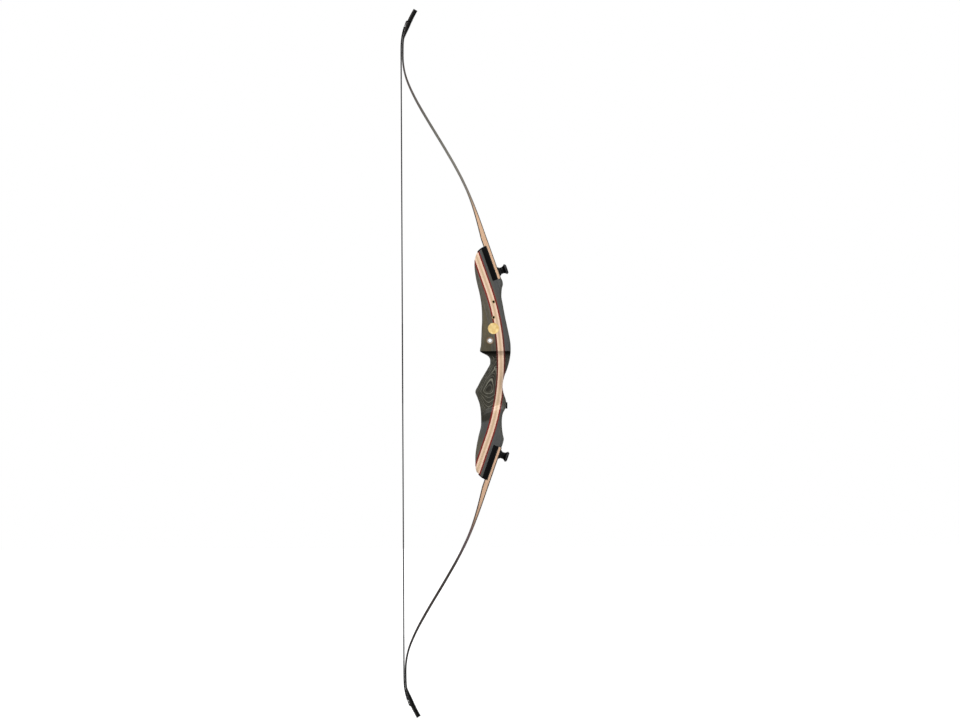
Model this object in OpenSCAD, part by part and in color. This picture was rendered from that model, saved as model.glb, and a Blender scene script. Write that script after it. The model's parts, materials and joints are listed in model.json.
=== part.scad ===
// Three-piece takedown recurve bow, strung and upright: laminated riser, two bolt-down limbs and a string.
// The origin is the throat of the grip. +X points at the target, +Y to the archer's left, +Z up.
// The limbs and their seats mirror about a level plane a little below the throat.

/* [Riser] */
// Width of the riser at the seats and beside the sight window
riser_w = 44; // [38:0.5:50]
// Width of the riser at the throat of the grip
throat_w = 28; // [26:0.5:34]
// Width across the palm swell
palm_w = 37; // [32:0.5:40]
// Depth of the mirror plane of the limbs below the throat
centre_drop = 3; // [0:0.5:8]
// Width of the rounding on the long edges, seen from the side
edge_r = 7; // [3:0.5:9]
// Depth of the red veneers
veneer_t = 3.2; // [1.5:0.1:4]
// Depth of the pale core stripe
core_stripe_t = 11.8; // [8:0.2:14]
// Radius to which the stripe is bent between the seats
stripe_r = 484; // [440:2:520]
// Distance of the stripe's middle ahead of the throat
stripe_x = 23.3; // [21:0.1:25]

/* [Sight window] */
// Height of the arrow shelf above the throat
shelf_z = 22.5; // [18:0.5:28]
// How far the window is cut past the string's plane
cut_past = 4; // [0:0.5:7]
// Height at which the window starts to run out
window_z = 140; // [138:1:150]
// Radius of the window's upper end
window_r = 26; // [24:1:30]

/* [Limb seats] */
// Lean of the seats from the vertical, in degrees
seat_lean = 19.3; // [18:0.1:20.5]
// Distance of the wooden seat from the mirror centre, square to the seat
seat_off = 63.9; // [62:0.1:66]
// Distance of the seat's shoulder from the mirror centre, along the seat
shoulder_at = 163; // [160:0.5:166]
// Length of the pad along the seat
pad_len = 76; // [72:0.5:80]
// Thickness of the pad
pad_t = 10.9; // [9:0.1:12]
// Thickness of the pad's lip over the riser's end
lip_t = 2.2; // [1.5:0.1:3]
// Slope of the riser's end face against the seat's square, in degrees
end_slope = 18; // [12:1:22]
// Length of the lip past the seat towards the belly
lip_len = 10; // [8:0.2:11]
// Bulge of the lip's curve over the riser's end
lip_bulge = 1; // [0:0.1:2]

/* [Limbs] */
// Thickness of a limb in its pocket
butt_t = 8; // [7:0.1:9]
// Thickness of each glass lamination
glass_t = 1.2; // [0.6:0.1:1.5]
// Thickness of the working limb past its fade-out
mid_t = 5.2; // [4.4:0.1:6]
// Thickness of the limb at its tip, without the overlay
tip_t = 3.6; // [3:0.1:4.2]
// Depth of the belly wedge where it butts on the pad
wedge_t = 3.4; // [2.6:0.1:4]
// Width of a limb at its butt
limb_w = 44; // [38:0.5:50]
// Width of a limb where the recurve starts
recurve_w = 26; // [22:0.5:32]
// Width of a limb at the nock
nock_w = 17; // [15:0.5:20]
// Width of a limb at its end
tip_w = 12; // [10:0.5:14]
// Depth of the overlay on the tip
overlay_t = 5.5; // [4:0.25:6]
// Distance from the butt to the nock, along the limb
nock_at = 603; // [600:0.5:606]
// Distance from the butt to the start of the overlay
overlay_at = 563; // [555:1:568]
// Distance from the butt to the line where the limb is taken to flex
flex_at = 222; // [215:1:235]
// Radius of the nock grooves
nock_r = 1.5; // [1.3:0.1:1.9]

/* [String] */
// Diameter of the bundle of strands
string_d = 2.7; // [2:0.1:3.2]
// Wall of the serving thread
serving_t = 0.15; // [0.1:0.05:0.3]
// Clearance between the string and the recurve it lies on
string_gap = 0.3; // [0.2:0.05:0.6]
// Height on the straight string to which the end serving reaches
end_serving_to = 585; // [560:5:620]
// Half length of the centre serving
centre_serving_half = 85; // [60:5:110]
// Length at the middle that the halves keep free, because they swing a little past it in mid-draw
open_half = 15; // [14.5:0.5:20]
// Distance from the nock back to the throat of the loop
loop_len = 18; // [14:1:24]
// Diameter of the loop's legs
loop_d = 2; // [1.6:0.1:2.4]

/* [Limb bolts] */
// Distance of the bolt from the shoulder, along the seat
bolt_at = 15.3; // [12:0.1:18]
// Diameter of the threaded stud
stud_d = 7.8; // [6:0.1:7.9]
// Clearance on radius of the stud in its insert
thread_gap = 0.07; // [0.04:0.01:0.1]
// Clearance on radius of the stud in the limb and the pad
bolt_gap = 0.3; // [0.2:0.05:0.6]
// Outer diameter of the bolt insert
insert_d = 13; // [11:0.5:15]
// How far the bolt insert reaches past the pale stripe
insert_past = 1.4; // [1:0.1:3]
// How far the stud stops short of the insert's inner end
stud_short = 2; // [1:0.5:6]
// Diameter of the washer
washer_d = 20; // [17:0.5:22]
// Thickness of the washer
washer_t = 2; // [1.5:0.1:3]
// Diameter of the knob's rim
knob_d = 22.6; // [20:0.2:24]
// Diameter of the knob's neck
neck_d = 14.5; // [12:0.5:16]
// Height of the knob
knob_h = 17.5; // [15:0.5:20]
// Distance of the knob's widest place below its end
rim_down = 3.5; // [3:0.1:5]
// Diameter of the locating pin
pin_d = 6; // [5:0.1:7]
// Distance of the locating pin past the bolt, along the seat
pin_past = 30; // [26:0.5:40]
// Depth of the locating pin in the riser
pin_sunk = 12; // [8:0.5:16]
// Depth of the locating pin in the limb
pin_reach = 6; // [4:0.5:6.5]

/* [Fittings] */
// Height of the stabiliser bushing below the throat
stabiliser_down = 94; // [91:0.5:97]
// Distance of the stabiliser bushing's seat ahead of the throat
stabiliser_x = 32.5; // [31.5:0.1:33]
// Diameter of the stabiliser bushing's flange
flange_d = 14; // [13.5:0.5:16]
// Height of the flange over its seat
flange_t = 4.2; // [3:0.1:5]
// Outer diameter of the bushing in the wood
bushing_d = 12.7; // [11:0.1:13]
// Length of the bushing in the wood
bushing_len = 10.5; // [9:0.5:11]
// Diameter of the threaded bores for stabiliser and plunger
accessory_bore_d = 7.94; // [7:0.02:8.2]
// Height of the plunger hole above the throat
plunger_z = 45.2; // [42:0.2:48]
// Outer diameter of the plunger bushing
plunger_d = 16; // [13:0.5:17]
// Height of the lower sight insert above the throat
sight_z = 94.4; // [93:0.1:96]
// Spacing of the sight inserts
sight_gap = 33.34; // [33:0.02:34]
// Distance of the sight inserts ahead of the throat
sight_x = 7.9; // [5:0.1:10]
// Bore of the sight inserts
sight_bore_d = 4.8; // [4:0.05:5]
// Outer diameter of the sight inserts
sight_insert_d = 7.5; // [6.5:0.1:9]
// Depth of the sight inserts
sight_insert_len = 12; // [8:0.5:14]
// Height of the medallion's centre above the throat
medallion_z = 70.7; // [69:0.1:72]
// Distance of the medallion's centre ahead of the throat
medallion_x = 7.6; // [5:0.1:10]
// Diameter of the medallion
medallion_d = 23.8; // [20:0.2:26]
// Thickness of the medallion
medallion_t = 2.4; // [1.6:0.1:3]
// How far the medallion stands proud
medallion_proud = 0.3; // [0:0.1:0.6]

/* [Hidden] */
$fn = 48;

// Length by which a cut runs past what it cuts
over = 1;
// Larger than any part of the riser
far = 90;
// Gap between the two lengths of a limb at the flex line
flex_gap = 0.1;
// Gap between the served end and the strands, which turn on each other at the string's near edge
turn_gap = 0.1;

// Side outline of the riser: height above the throat, then place ahead of the throat.
// The belly faces the archer, the back faces the target.
belly_line = [
    [-262, -15], [-244, -25.5], [-235, -30.2], [-222.6, -32.7], [-206.3, -32.7], [-181.7, -30],
    [-160.7, -25.8], [-132.1, -19.9], [-107.4, -20.6], [-90.9, -23.1], [-76.1, -28], [-65, -32],
    [-50.2, -25.3], [-37.2, -18.6], [-13.5, -4.6], [-3.6, 0], [3.6, 0], [10.3, -3], [14.4, -8.7],
    [18.5, -16.8], [22.6, -21.7], [36.3, -19.5], [69.9, -17.9], [90.5, -16.9], [118.3, -17.9],
    [141.3, -21.2], [177.1, -29.2], [199.1, -32.3], [213.9, -32.6], [222, -31], [235.3, -26.5], [262, -17]
];
back_line = [
    [-262, 12], [-200, 18], [-185.2, 22.9], [-176.2, 26.2], [-165.3, 28.6], [-156.7, 26.7],
    [-136.3, 24.6], [-123.9, 24.7], [-110.9, 26.9], [-101.9, 31.4], [-92, 34], [-82.2, 33.5],
    [-71.7, 29.9], [-55.6, 26.7], [-45.5, 27.2], [-31.6, 30.5], [-18.6, 35.5], [-2.3, 40.5],
    [11.8, 43.3], [24, 44.2], [40.7, 43.5], [71.4, 37.6], [94.3, 32.8], [123, 27.6], [140.2, 24.9],
    [156.2, 26], [165, 28.2], [173, 27], [179, 24], [200, 16], [262, 8]
];
// Half width of the riser by height
half_width_line = [
    [-262, riser_w / 2], [-112, riser_w / 2], [-104, riser_w / 2 - 1.5], [-95, throat_w / 2 + 1.5],
    [-65, palm_w / 2], [-40, palm_w / 2 - 2], [-12, throat_w / 2], [2, throat_w / 2],
    [shelf_z - 13.5, throat_w / 2 + 0.3], [shelf_z - 7.5, throat_w / 2 + 1.8],
    [shelf_z - 3, throat_w / 2 + 4.6], [shelf_z - 0.5, riser_w / 2 - 0.6], [shelf_z + 1, riser_w / 2],
    [262, riser_w / 2]
];
// Reach of the edge rounding along X on the belly and on the back, and across Y, by height
belly_round_line = [
    [-262, edge_r], [-112, edge_r], [-95, 20], [-65, 36], [-40, 27], [-8, 18], [8, 12],
    [24, edge_r], [262, edge_r]
];
back_round_line = [
    [-262, edge_r], [-112, edge_r], [-95, 10], [-65, 24], [-40, 22], [-8, 22], [8, 15],
    [24, edge_r], [262, edge_r]
];
cross_round_line = [
    [-262, edge_r], [-112, edge_r], [-95, 9], [-65, 14.5], [-40, 13.5], [-8, 12.5], [8, 11],
    [24, edge_r], [262, edge_r]
];
// Past the shoulders the outlines and tables stretch with the pads, for which they hold this length
stretch_from = 156;
outline_pad_len = 76;
pad_stretch = pad_len / outline_pad_len;
function table_z(z) =
    abs(z) < stretch_from ? z : sign(z) * (stretch_from + (abs(z) - stretch_from) / pad_stretch);
function real_z(t) =
    abs(t) < stretch_from ? t : sign(t) * (stretch_from + (abs(t) - stretch_from) * pad_stretch);
// Heights of the loft's sections, closer together round the throat and the shelf
table_levels = concat(
    [for (z = -256; z <= -112; z = z + 9) z],
    [for (z = -104; z <= -8; z = z + 6) z],
    [for (z = -4; z <= 4; z = z + 4) z],
    [for (z = 8; z <= 26; z = z + 2) z],
    [for (z = 36; z <= 132; z = z + 12) z],
    [for (z = 140; z <= 256; z = z + 8) z]
);
riser_levels = [for (t = table_levels) real_z(t)];
// Thinnest lamination that is still drawn where the outline runs out through it
feather = 0.35;

function clamp(v, lo, hi) = min(max(v, lo), hi);

// Place in a table of [position, value] rows whose positions rise
function row_below(rows, p, i = 0) =
    (i >= len(rows) - 2 || p < rows[i + 1][0]) ? i : row_below(rows, p, i + 1);
// Slope at a row: level where the rows turn or lie level, so that the curve never swings past them
function slope_at(rows, i) =
    let (
        lo = max(i - 1, 0),
        hi = min(i + 1, len(rows) - 1),
        before = rows[i][1] - rows[lo][1],
        after = rows[hi][1] - rows[i][1]
    )
    before * after <= 0 ? 0 : (rows[hi][1] - rows[lo][1]) / (rows[hi][0] - rows[lo][0]);
// Smooth curve through the rows
function smooth_at(rows, p) =
    let (
        i = row_below(rows, p),
        span = rows[i + 1][0] - rows[i][0],
        t = clamp((p - rows[i][0]) / span, 0, 1),
        a = rows[i][1],
        b = rows[i + 1][1],
        ma = slope_at(rows, i) * span,
        mb = slope_at(rows, i + 1) * span
    )
    (2 * t * t * t - 3 * t * t + 1) * a + (t * t * t - 2 * t * t + t) * ma
    + (3 * t * t - 2 * t * t * t) * b + (t * t * t - t * t) * mb;

// Solid through rings of equally many points, as triangles with flat end faces.
// Seen from the last ring, the points of each ring run counterclockwise.
module sweep(rings) {
    n = len(rings[0]);
    m = len(rings);
    sides = [
        for (k = [0:m - 2], i = [0:n - 1], half = [0, 1])
            let (j = (i + 1) % n)
            half == 0
                ? [k * n + i, (k + 1) * n + j, k * n + j]
                : [k * n + i, (k + 1) * n + i, (k + 1) * n + j]
    ];
    first = [for (i = [0:n - 1]) i];
    last = [for (i = [n - 1:-1:0]) (m - 1) * n + i];
    polyhedron(points = [for (r = rings, p = r) p], faces = concat(sides, [first], [last]), convexity = 10);
}

// The laminations are bent to arcs about one centre and run straight on at the seats' lean
function bent_x(z, offset) =
    let (r = stripe_r + offset, h = abs(z + centre_drop), x0 = stripe_x - stripe_r)
    h < r * sin(seat_lean) ? x0 + sqrt(r * r - h * h) : x0 + (r - h * sin(seat_lean)) / cos(seat_lean);

// Belly and back of the riser at a height
function belly_at(z) = smooth_at(belly_line, table_z(z));
function back_at(z) = smooth_at(back_line, table_z(z));
// The palm swell runs out on a slant, lower at the belly than at the back
swell_slant = 0.3;
swell_x = 8;
swell_end = -75;
swell_fade = 20;
function slanted_z(x, z) =
    table_z(z) - swell_slant * (x - swell_x) * clamp((swell_end - z) / swell_fade, 0, 1);
// Half width of the riser's section at a place ahead of the throat, never less than half the least width
least_w = 1;
function edge_fall(depth, reach, drop) =
    depth >= reach ? 0 : drop * (1 - sqrt(max(0, 1 - pow(1 - depth / reach, 2))));
function half_width_at(x, z) =
    let (
        level = slanted_z(x, z),
        w = smooth_at(half_width_line, level),
        most = w - least_w / 2,
        drop = min(smooth_at(cross_round_line, level), most),
        front = edge_fall(x - belly_at(z), smooth_at(belly_round_line, level), drop),
        rear = edge_fall(back_at(z) - x, smooth_at(back_round_line, level), drop)
    )
    w - min(max(front, rear), most);

// Places of a section's points between two bounds, crowded where a rounding starts or ends
function spread(lo, hi, steps) =
    [for (i = [0:steps]) lo + (hi - lo) * (0.5 - 0.5 * cos(i * 180 / steps))];
function riser_ring(z, lo_offset, hi_offset, steps) =
    let (
        lo = max(bent_x(z, lo_offset), belly_at(z)),
        hi = min(bent_x(z, hi_offset), back_at(z)),
        xs = spread(lo, max(hi, lo + feather), steps)
    )
    concat(
        [for (x = xs) [x, -half_width_at(x, z), z]],
        [for (i = [steps:-1:0]) [xs[i], half_width_at(xs[i], z), z]]
    );
// Depth of a lamination at a height
function ply_depth(z, lo_offset, hi_offset) =
    min(bent_x(z, hi_offset), back_at(z)) - max(bent_x(z, lo_offset), belly_at(z));
module riser_ply(lo_offset, hi_offset, steps, from_z, to_z, window = true) {
    levels = [
        for (z = riser_levels)
            if (z >= from_z && z <= to_z && ply_depth(z, lo_offset, hi_offset) >= feather) z
    ];
    difference() {
        sweep([for (z = levels) riser_ring(z, lo_offset, hi_offset, steps)]);
        fitting_cuts();
        if (window) window_cut();
    }
}

// Mirrors the upper half's parts to the lower half
module half(side) {
    translate([0, 0, -centre_drop]) mirror([0, 0, side == "lower" ? 1 : 0]) children();
}
// Frame of a limb seat: X square to the seat, Z along it, origin at the mirror centre
module seat(side) {
    half(side) rotate([0, -seat_lean, 0]) children();
}
// Extrudes an outline of [square, along] points across the bow in the seat's frame
module across(width) {
    rotate([90, 0, 0]) linear_extrude(height = width, center = true) children();
}
// Cylinder along the seat's square, from one distance to another
module square_rod(along, from_n, to_n, d) {
    translate([from_n, 0, along]) rotate([0, 90, 0]) cylinder(d = d, h = to_n - from_n);
}

bolt_along = shoulder_at + bolt_at;
pin_along = bolt_along + pin_past;
pad_end = shoulder_at + pad_len;
limb_belly_off = seat_off + pad_t;
limb_back_off = limb_belly_off + butt_t;
// Where the pad's end turns from the limb's square to the slope of the riser's end
wedge_gap = 0.3;
turn_off = limb_belly_off - wedge_t - glass_t - wedge_gap;
lip_off = seat_off - lip_len;
// Places along the seat of the lip's outer face and of the riser's wooden end, by distance square to it
function lip_curve(n) = clamp((turn_off - n) / (turn_off - lip_off), 0, 1);
function lip_end(n) =
    pad_end + min(0, (n - turn_off) * tan(end_slope)) + 4 * lip_bulge * lip_curve(n) * (1 - lip_curve(n));
function wood_end(n) = lip_end(n) - lip_t;
lip_steps = 5;
lip_outer = [
    for (i = [0:lip_steps]) let (n = turn_off + (lip_off - turn_off) * i / lip_steps) [n, lip_end(n)]
];
lip_inner = [for (i = [0:lip_steps]) let (n = lip_off + lip_len * i / lip_steps) [n, wood_end(n)]];

// The bolt insert ends a little past the stripe, the stud a little before the insert's end
stripe_off = stripe_x * cos(seat_lean) + stripe_r * (1 - cos(seat_lean));
insert_len = seat_off - (stripe_off - core_stripe_t / 2 - insert_past);
stud_reach = insert_len - stud_short;

module seat_cut(side) {
    seat(side) across(far * 2)
        polygon(concat(
            [
                [seat_off, shoulder_at], [seat_off + far, shoulder_at], [seat_off + far, pad_end + far],
                [seat_off - far, pad_end + far], [seat_off - far, wood_end(seat_off - far)]
            ],
            lip_inner
        ));
}
module window_cut() {
    translate([-far, 0, 0]) rotate([90, 0, 90]) linear_extrude(height = far * 2) {
        translate([-cut_past, shelf_z]) square([far, window_z - shelf_z]);
        translate([window_r - cut_past, window_z]) circle(r = window_r, $fn = 96);
    }
}
// Cylinder along Y from the near side face inwards
module side_rod(x, z, from_depth, to_depth, d) {
    translate([x, -riser_w / 2 + to_depth, z]) rotate([90, 0, 0]) cylinder(d = d, h = to_depth - from_depth);
}
module bolt_insert_hole(side) {
    seat(side) square_rod(bolt_along, seat_off - insert_len, seat_off + over, insert_d);
}
module locating_pin_hole(side) {
    seat(side) square_rod(pin_along, seat_off - pin_sunk, seat_off + over, pin_d);
}
module stabiliser_hole() {
    translate([stabiliser_x, 0, -stabiliser_down]) rotate([0, 90, 0]) {
        translate([0, 0, -bushing_len]) cylinder(d = bushing_d, h = bushing_len + over);
        cylinder(d = flange_d + 1, h = far);
    }
}
module plunger_hole() {
    side_rod(0, plunger_z, -over, riser_w, plunger_d);
}
module sight_insert_hole(i) {
    side_rod(sight_x, sight_z + i * sight_gap, -over, sight_insert_len, sight_insert_d);
}
module medallion_recess() {
    side_rod(medallion_x, medallion_z, -over, medallion_t - medallion_proud, medallion_d);
}

block_edge = core_stripe_t / 2 + veneer_t;
stripe_edge = core_stripe_t / 2;
// Height at which the back laminations part, where the outline cuts deepest behind the grip
parting_z = -48;
block_color = [0.27, 0.27, 0.25];
veneer_color = [0.43, 0.17, 0.13];
stripe_color = [0.89, 0.77, 0.6];

// Everything but the window that is cut out of the glued-up riser
module fitting_cuts() {
    for (side = ["upper", "lower"]) {
        seat_cut(side);
        bolt_insert_hole(side);
        locating_pin_hole(side);
    }
    stabiliser_hole();
    plunger_hole();
    sight_insert_hole(0);
    sight_insert_hole(1);
    medallion_recess();
}
module riser_belly_block() {
    color(block_color) riser_ply(-far, -block_edge, 6, -far * 3, far * 3);
}
module riser_belly_veneer() {
    color(veneer_color) riser_ply(-block_edge, -stripe_edge, 1, -far * 3, far * 3);
}
// The stripe is in two lengths that butt level with the shelf
module stripe_parting(from_z) {
    translate([-far, -far, from_z]) cube([far * 2, far * 2, far * 4]);
}
module riser_core_lower() {
    color(stripe_color) difference() {
        riser_ply(-stripe_edge, stripe_edge, 2, -far * 3, far, window = false);
        stripe_parting(shelf_z);
    }
}
module riser_core_upper() {
    color(stripe_color) difference() {
        riser_ply(-stripe_edge, stripe_edge, 2, -far, far * 3);
        stripe_parting(shelf_z - far * 4);
    }
}
module riser_back_veneer_upper() {
    color(veneer_color) riser_ply(stripe_edge, block_edge, 1, parting_z, far * 3);
}
module riser_back_veneer_lower() {
    color(veneer_color) riser_ply(stripe_edge, block_edge, 1, -far * 3, parting_z);
}
module riser_back_block_upper() {
    color(block_color) riser_ply(block_edge, far, 5, parting_z, far * 3);
}
module riser_back_block_lower() {
    color(block_color) riser_ply(block_edge, far, 5, -far * 3, parting_z);
}

// Pads, inserts and pins of the seats
module limb_pad(side) {
    color([0.07, 0.07, 0.07]) seat(side) difference() {
        across(riser_w)
            polygon(concat(
                [[seat_off, shoulder_at], [limb_belly_off, shoulder_at], [limb_belly_off, pad_end]],
                lip_outer,
                lip_inner
            ));
        square_rod(bolt_along, seat_off - over, limb_belly_off + over, stud_d + 2 * bolt_gap);
        square_rod(pin_along, seat_off - over, limb_belly_off + over, pin_d);
    }
}
module bolt_insert(side) {
    color([0.72, 0.6, 0.32]) seat(side) difference() {
        square_rod(bolt_along, seat_off - insert_len, seat_off, insert_d);
        square_rod(bolt_along, seat_off - insert_len - over, seat_off + over, stud_d + 2 * thread_gap);
    }
}
module locating_pin(side) {
    color([0.7, 0.7, 0.72]) seat(side)
        square_rod(pin_along, seat_off - pin_sunk, limb_belly_off + pin_reach, pin_d);
}

// Fittings of the riser
module stabiliser_bushing() {
    color([0.1, 0.1, 0.1]) translate([stabiliser_x, 0, -stabiliser_down]) rotate([0, 90, 0]) difference() {
        union() {
            translate([0, 0, -bushing_len]) cylinder(d = bushing_d, h = bushing_len);
            cylinder(d = flange_d, h = flange_t);
        }
        translate([0, 0, -bushing_len + 2]) cylinder(d = accessory_bore_d, h = bushing_len + flange_t);
    }
}
module plunger_bushing() {
    color([0.75, 0.75, 0.77]) difference() {
        side_rod(0, plunger_z, 0, riser_w / 2 - cut_past, plunger_d);
        side_rod(0, plunger_z, -over, riser_w, accessory_bore_d);
    }
}
module sight_inserts() {
    color([0.72, 0.6, 0.32]) for (i = [0, 1]) difference() {
        side_rod(sight_x, sight_z + i * sight_gap, 0, sight_insert_len, sight_insert_d);
        side_rod(sight_x, sight_z + i * sight_gap, -over, sight_insert_len - 1, sight_bore_d);
    }
}
module medallion() {
    color([0.88, 0.75, 0.44])
        side_rod(medallion_x, medallion_z, -medallion_proud, medallion_t - medallion_proud, medallion_d);
}

// A limb's back face, seen from the side, as arcs joined end to end, starting at the butt:
// each row holds the arc's length and the lean from the vertical at its end
butt_gap = 0.4;
limb_arcs = [
    [125.7, seat_lean], [48, 21.6], [100, 29.9], [75, 31.4], [64, 29.6], [50, 22.6], [61, 0],
    [20, -1.2], [61, -26.5], [22, -29.4]
];
// Number of the arc at whose end the limb's face stands upright, where the string leaves it
contact_arc = 7;
butt_start = [
    limb_back_off * cos(seat_lean) - (shoulder_at + butt_gap) * sin(seat_lean),
    limb_back_off * sin(seat_lean) + (shoulder_at + butt_gap) * cos(seat_lean)
];
// Point and lean reached after a length along an arc that starts at p = [x, z, lean]
function along_arc(p, arc, s) =
    let (bend = arc[1] - p[2], lean = p[2] + bend * s / arc[0], r = arc[0] / bend * 180 / PI)
    abs(bend) < 0.001
        ? [p[0] - s * sin(p[2]), p[1] + s * cos(p[2]), p[2]]
        : [p[0] - r * (cos(p[2]) - cos(lean)), p[1] + r * (sin(lean) - sin(p[2])), lean];
// Starts of all arcs, as [x, z, lean], and their distances from the butt
arc_starts = [
    for (i = 0, p = [butt_start[0], butt_start[1], seat_lean];
         i <= len(limb_arcs);
         p = i < len(limb_arcs) ? along_arc(p, limb_arcs[i], limb_arcs[i][0]) : p, i = i + 1) p
];
arc_at = [
    for (i = 0, s = 0; i <= len(limb_arcs); s = i < len(limb_arcs) ? s + limb_arcs[i][0] : s, i = i + 1) s
];
limb_len = arc_at[len(limb_arcs)];
function arc_of(s, i = 0) = (i >= len(limb_arcs) - 1 || s < arc_at[i + 1]) ? i : arc_of(s, i + 1);
// Back face of the limb at a distance from the butt, as [x, z, lean]
function limb_at(s) = let (i = arc_of(s)) along_arc(arc_starts[i], limb_arcs[i], s - arc_at[i]);

// Distances at which a limb's sections are drawn
section_step = 17;
section_bend = 4;
limb_sections = [
    for (i = [0:len(limb_arcs) - 1])
        let (
            bend = abs(limb_arcs[i][1] - arc_starts[i][2]),
            n = max(ceil(limb_arcs[i][0] / section_step), ceil(bend / section_bend))
        )
        for (k = [0:n - 1]) arc_at[i] + limb_arcs[i][0] * k / n
];
function sections(from_s, to_s) =
    concat([from_s], [for (s = limb_sections) if (s > from_s + 1 && s < to_s - 1) s], [to_s]);
// Last section at or before a distance: laminations that lie on others start and end on the same sections
function section_before(s) = max([for (t = limb_sections) if (t <= s) t]);

// Thicknesses along a limb: the core and the belly wedge thin out together to the fade-out
wedge_flat = 18;
fade_len = 113;
fade_power = 1.6;
wedge_at = pad_len - butt_gap;
fade_at = wedge_at + wedge_flat;
function fade(s) = pow(clamp(1 - (s - fade_at) / fade_len, 0, 1), fade_power);
core_butt_t = butt_t - glass_t;
core_mid_t = mid_t - 2 * glass_t;
core_tip_t = tip_t - 2 * glass_t;
// The core starts to thin a little before the recurve
thin_lead = 17;
thin_from = arc_at[5] - thin_lead;
thin_to = arc_at[contact_arc];
function core_at(s) =
    core_mid_t + (core_butt_t - core_mid_t) * fade(s)
    + (core_tip_t - core_mid_t) * clamp((s - thin_from) / (thin_to - thin_from), 0, 1);
function wedge_depth(s) = wedge_t * fade(s);
function belly_depth(s) = 2 * glass_t + core_at(s) + wedge_depth(s);
// Length over which the overlay rises from its thin start to its full depth
overlay_rise = 34;
overlay_edge = 0.02;
overlay_from = section_before(overlay_at);
function overlay_depth(s) =
    overlay_t * sin(90 * clamp((s - overlay_from) / overlay_rise, overlay_edge, 1));
taper_at = 170;
recurve_at = 480;
function half_limb_w(s) =
    s < taper_at ? limb_w / 2
    : s < recurve_at ? limb_w / 2 + (recurve_w - limb_w) / 2 * (s - taper_at) / (recurve_at - taper_at)
    : s < nock_at ? recurve_w / 2 + (nock_w - recurve_w) / 2 * (s - recurve_at) / (nock_at - recurve_at)
    : nock_w / 2 + (tip_w - nock_w) / 2 * (s - nock_at) / (limb_len - nock_at);
// Point at a depth under the back face, at a place across the bow
function limb_point(s, depth, y) =
    let (p = limb_at(s)) [p[0] - depth * cos(p[2]), y, p[1] - depth * sin(p[2])];
function limb_ring(s, top, bottom) =
    let (w = half_limb_w(s))
    [limb_point(s, top, -w), limb_point(s, top, w), limb_point(s, bottom, w), limb_point(s, bottom, -w)];

butt_to = flex_at - flex_gap / 2;
outer_from = flex_at + flex_gap / 2;
wedge_to = section_before(fade_at + fade_len * 0.95);
glass_color = [0.36, 0.36, 0.33];
lower_glass_color = [0.18, 0.17, 0.15];
limb_wood_color = [0.72, 0.58, 0.38];
function glass_tint(side) = side == "upper" ? glass_color : lower_glass_color;

// Hole of the stud through a limb's butt, and of the locating pin into it
module butt_holes(side) {
    seat(side) square_rod(bolt_along, limb_belly_off - over, limb_back_off + over, stud_d + 2 * bolt_gap);
    seat(side) square_rod(pin_along, limb_belly_off - over, limb_belly_off + pin_reach, pin_d);
}
module limb_butt_back_glass(side) {
    color(glass_tint(side)) difference() {
        half(side) sweep([for (s = sections(0, butt_to)) limb_ring(s, 0, glass_t)]);
        butt_holes(side);
    }
}
module limb_butt_core(side) {
    color(limb_wood_color) difference() {
        half(side) sweep([for (s = sections(0, butt_to)) limb_ring(s, glass_t, glass_t + core_at(s))]);
        butt_holes(side);
    }
}
module limb_wedge(side) {
    color([0.8, 0.66, 0.44]) half(side) sweep([
        for (s = sections(wedge_at, wedge_to))
            limb_ring(s, glass_t + core_at(s), glass_t + core_at(s) + wedge_depth(s))
    ]);
}
module limb_butt_belly_glass(side) {
    color(glass_tint(side)) half(side) sweep([
        for (s = sections(wedge_at, butt_to)) limb_ring(s, belly_depth(s) - glass_t, belly_depth(s))
    ]);
}

// The loop's leg and its groove: across the back in the nock, and slanting down each flank to the throat
loop_r = loop_d / 2;
loop_seat_gap = 0.15;
loop_back_depth = nock_r - overlay_t - loop_r - loop_seat_gap;
loop_slant = 0.6;
function flank_s(depth) = nock_at - loop_slant * (depth - loop_back_depth);
module nock_cuts(side) {
    lean = limb_at(nock_at)[2];
    half(side) {
        translate(limb_point(nock_at, -overlay_t, 0)) rotate([90, 0, 0])
            cylinder(r = nock_r, h = far, center = true, $fn = 32);
        for (flank = [-1, 1])
            translate(limb_point(nock_at, loop_back_depth, flank * half_limb_w(nock_at)))
                rotate([0, 90 - lean - atan(loop_slant), 0])
                    cylinder(r = nock_r, h = far / 2, center = true, $fn = 32);
    }
}
module limb_ply(side, top_of, bottom_of) {
    half(side) sweep([for (s = sections(outer_from, limb_len)) limb_ring(s, top_of(s), bottom_of(s))]);
}
module limb_back_glass(side) {
    color(glass_tint(side)) difference() {
        limb_ply(side, function (s) 0, function (s) glass_t);
        nock_cuts(side);
    }
}
module limb_core(side) {
    color(limb_wood_color) difference() {
        limb_ply(side, function (s) glass_t, function (s) glass_t + core_at(s));
        nock_cuts(side);
    }
}
module limb_belly_glass(side) {
    color(glass_tint(side)) difference() {
        limb_ply(side, function (s) belly_depth(s) - glass_t, function (s) belly_depth(s));
        nock_cuts(side);
    }
}
module tip_overlay(side) {
    color([0.06, 0.06, 0.06]) difference() {
        half(side) sweep([for (s = sections(overlay_from, limb_len)) limb_ring(s, -overlay_depth(s), 0)]);
        nock_cuts(side);
    }
}

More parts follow.
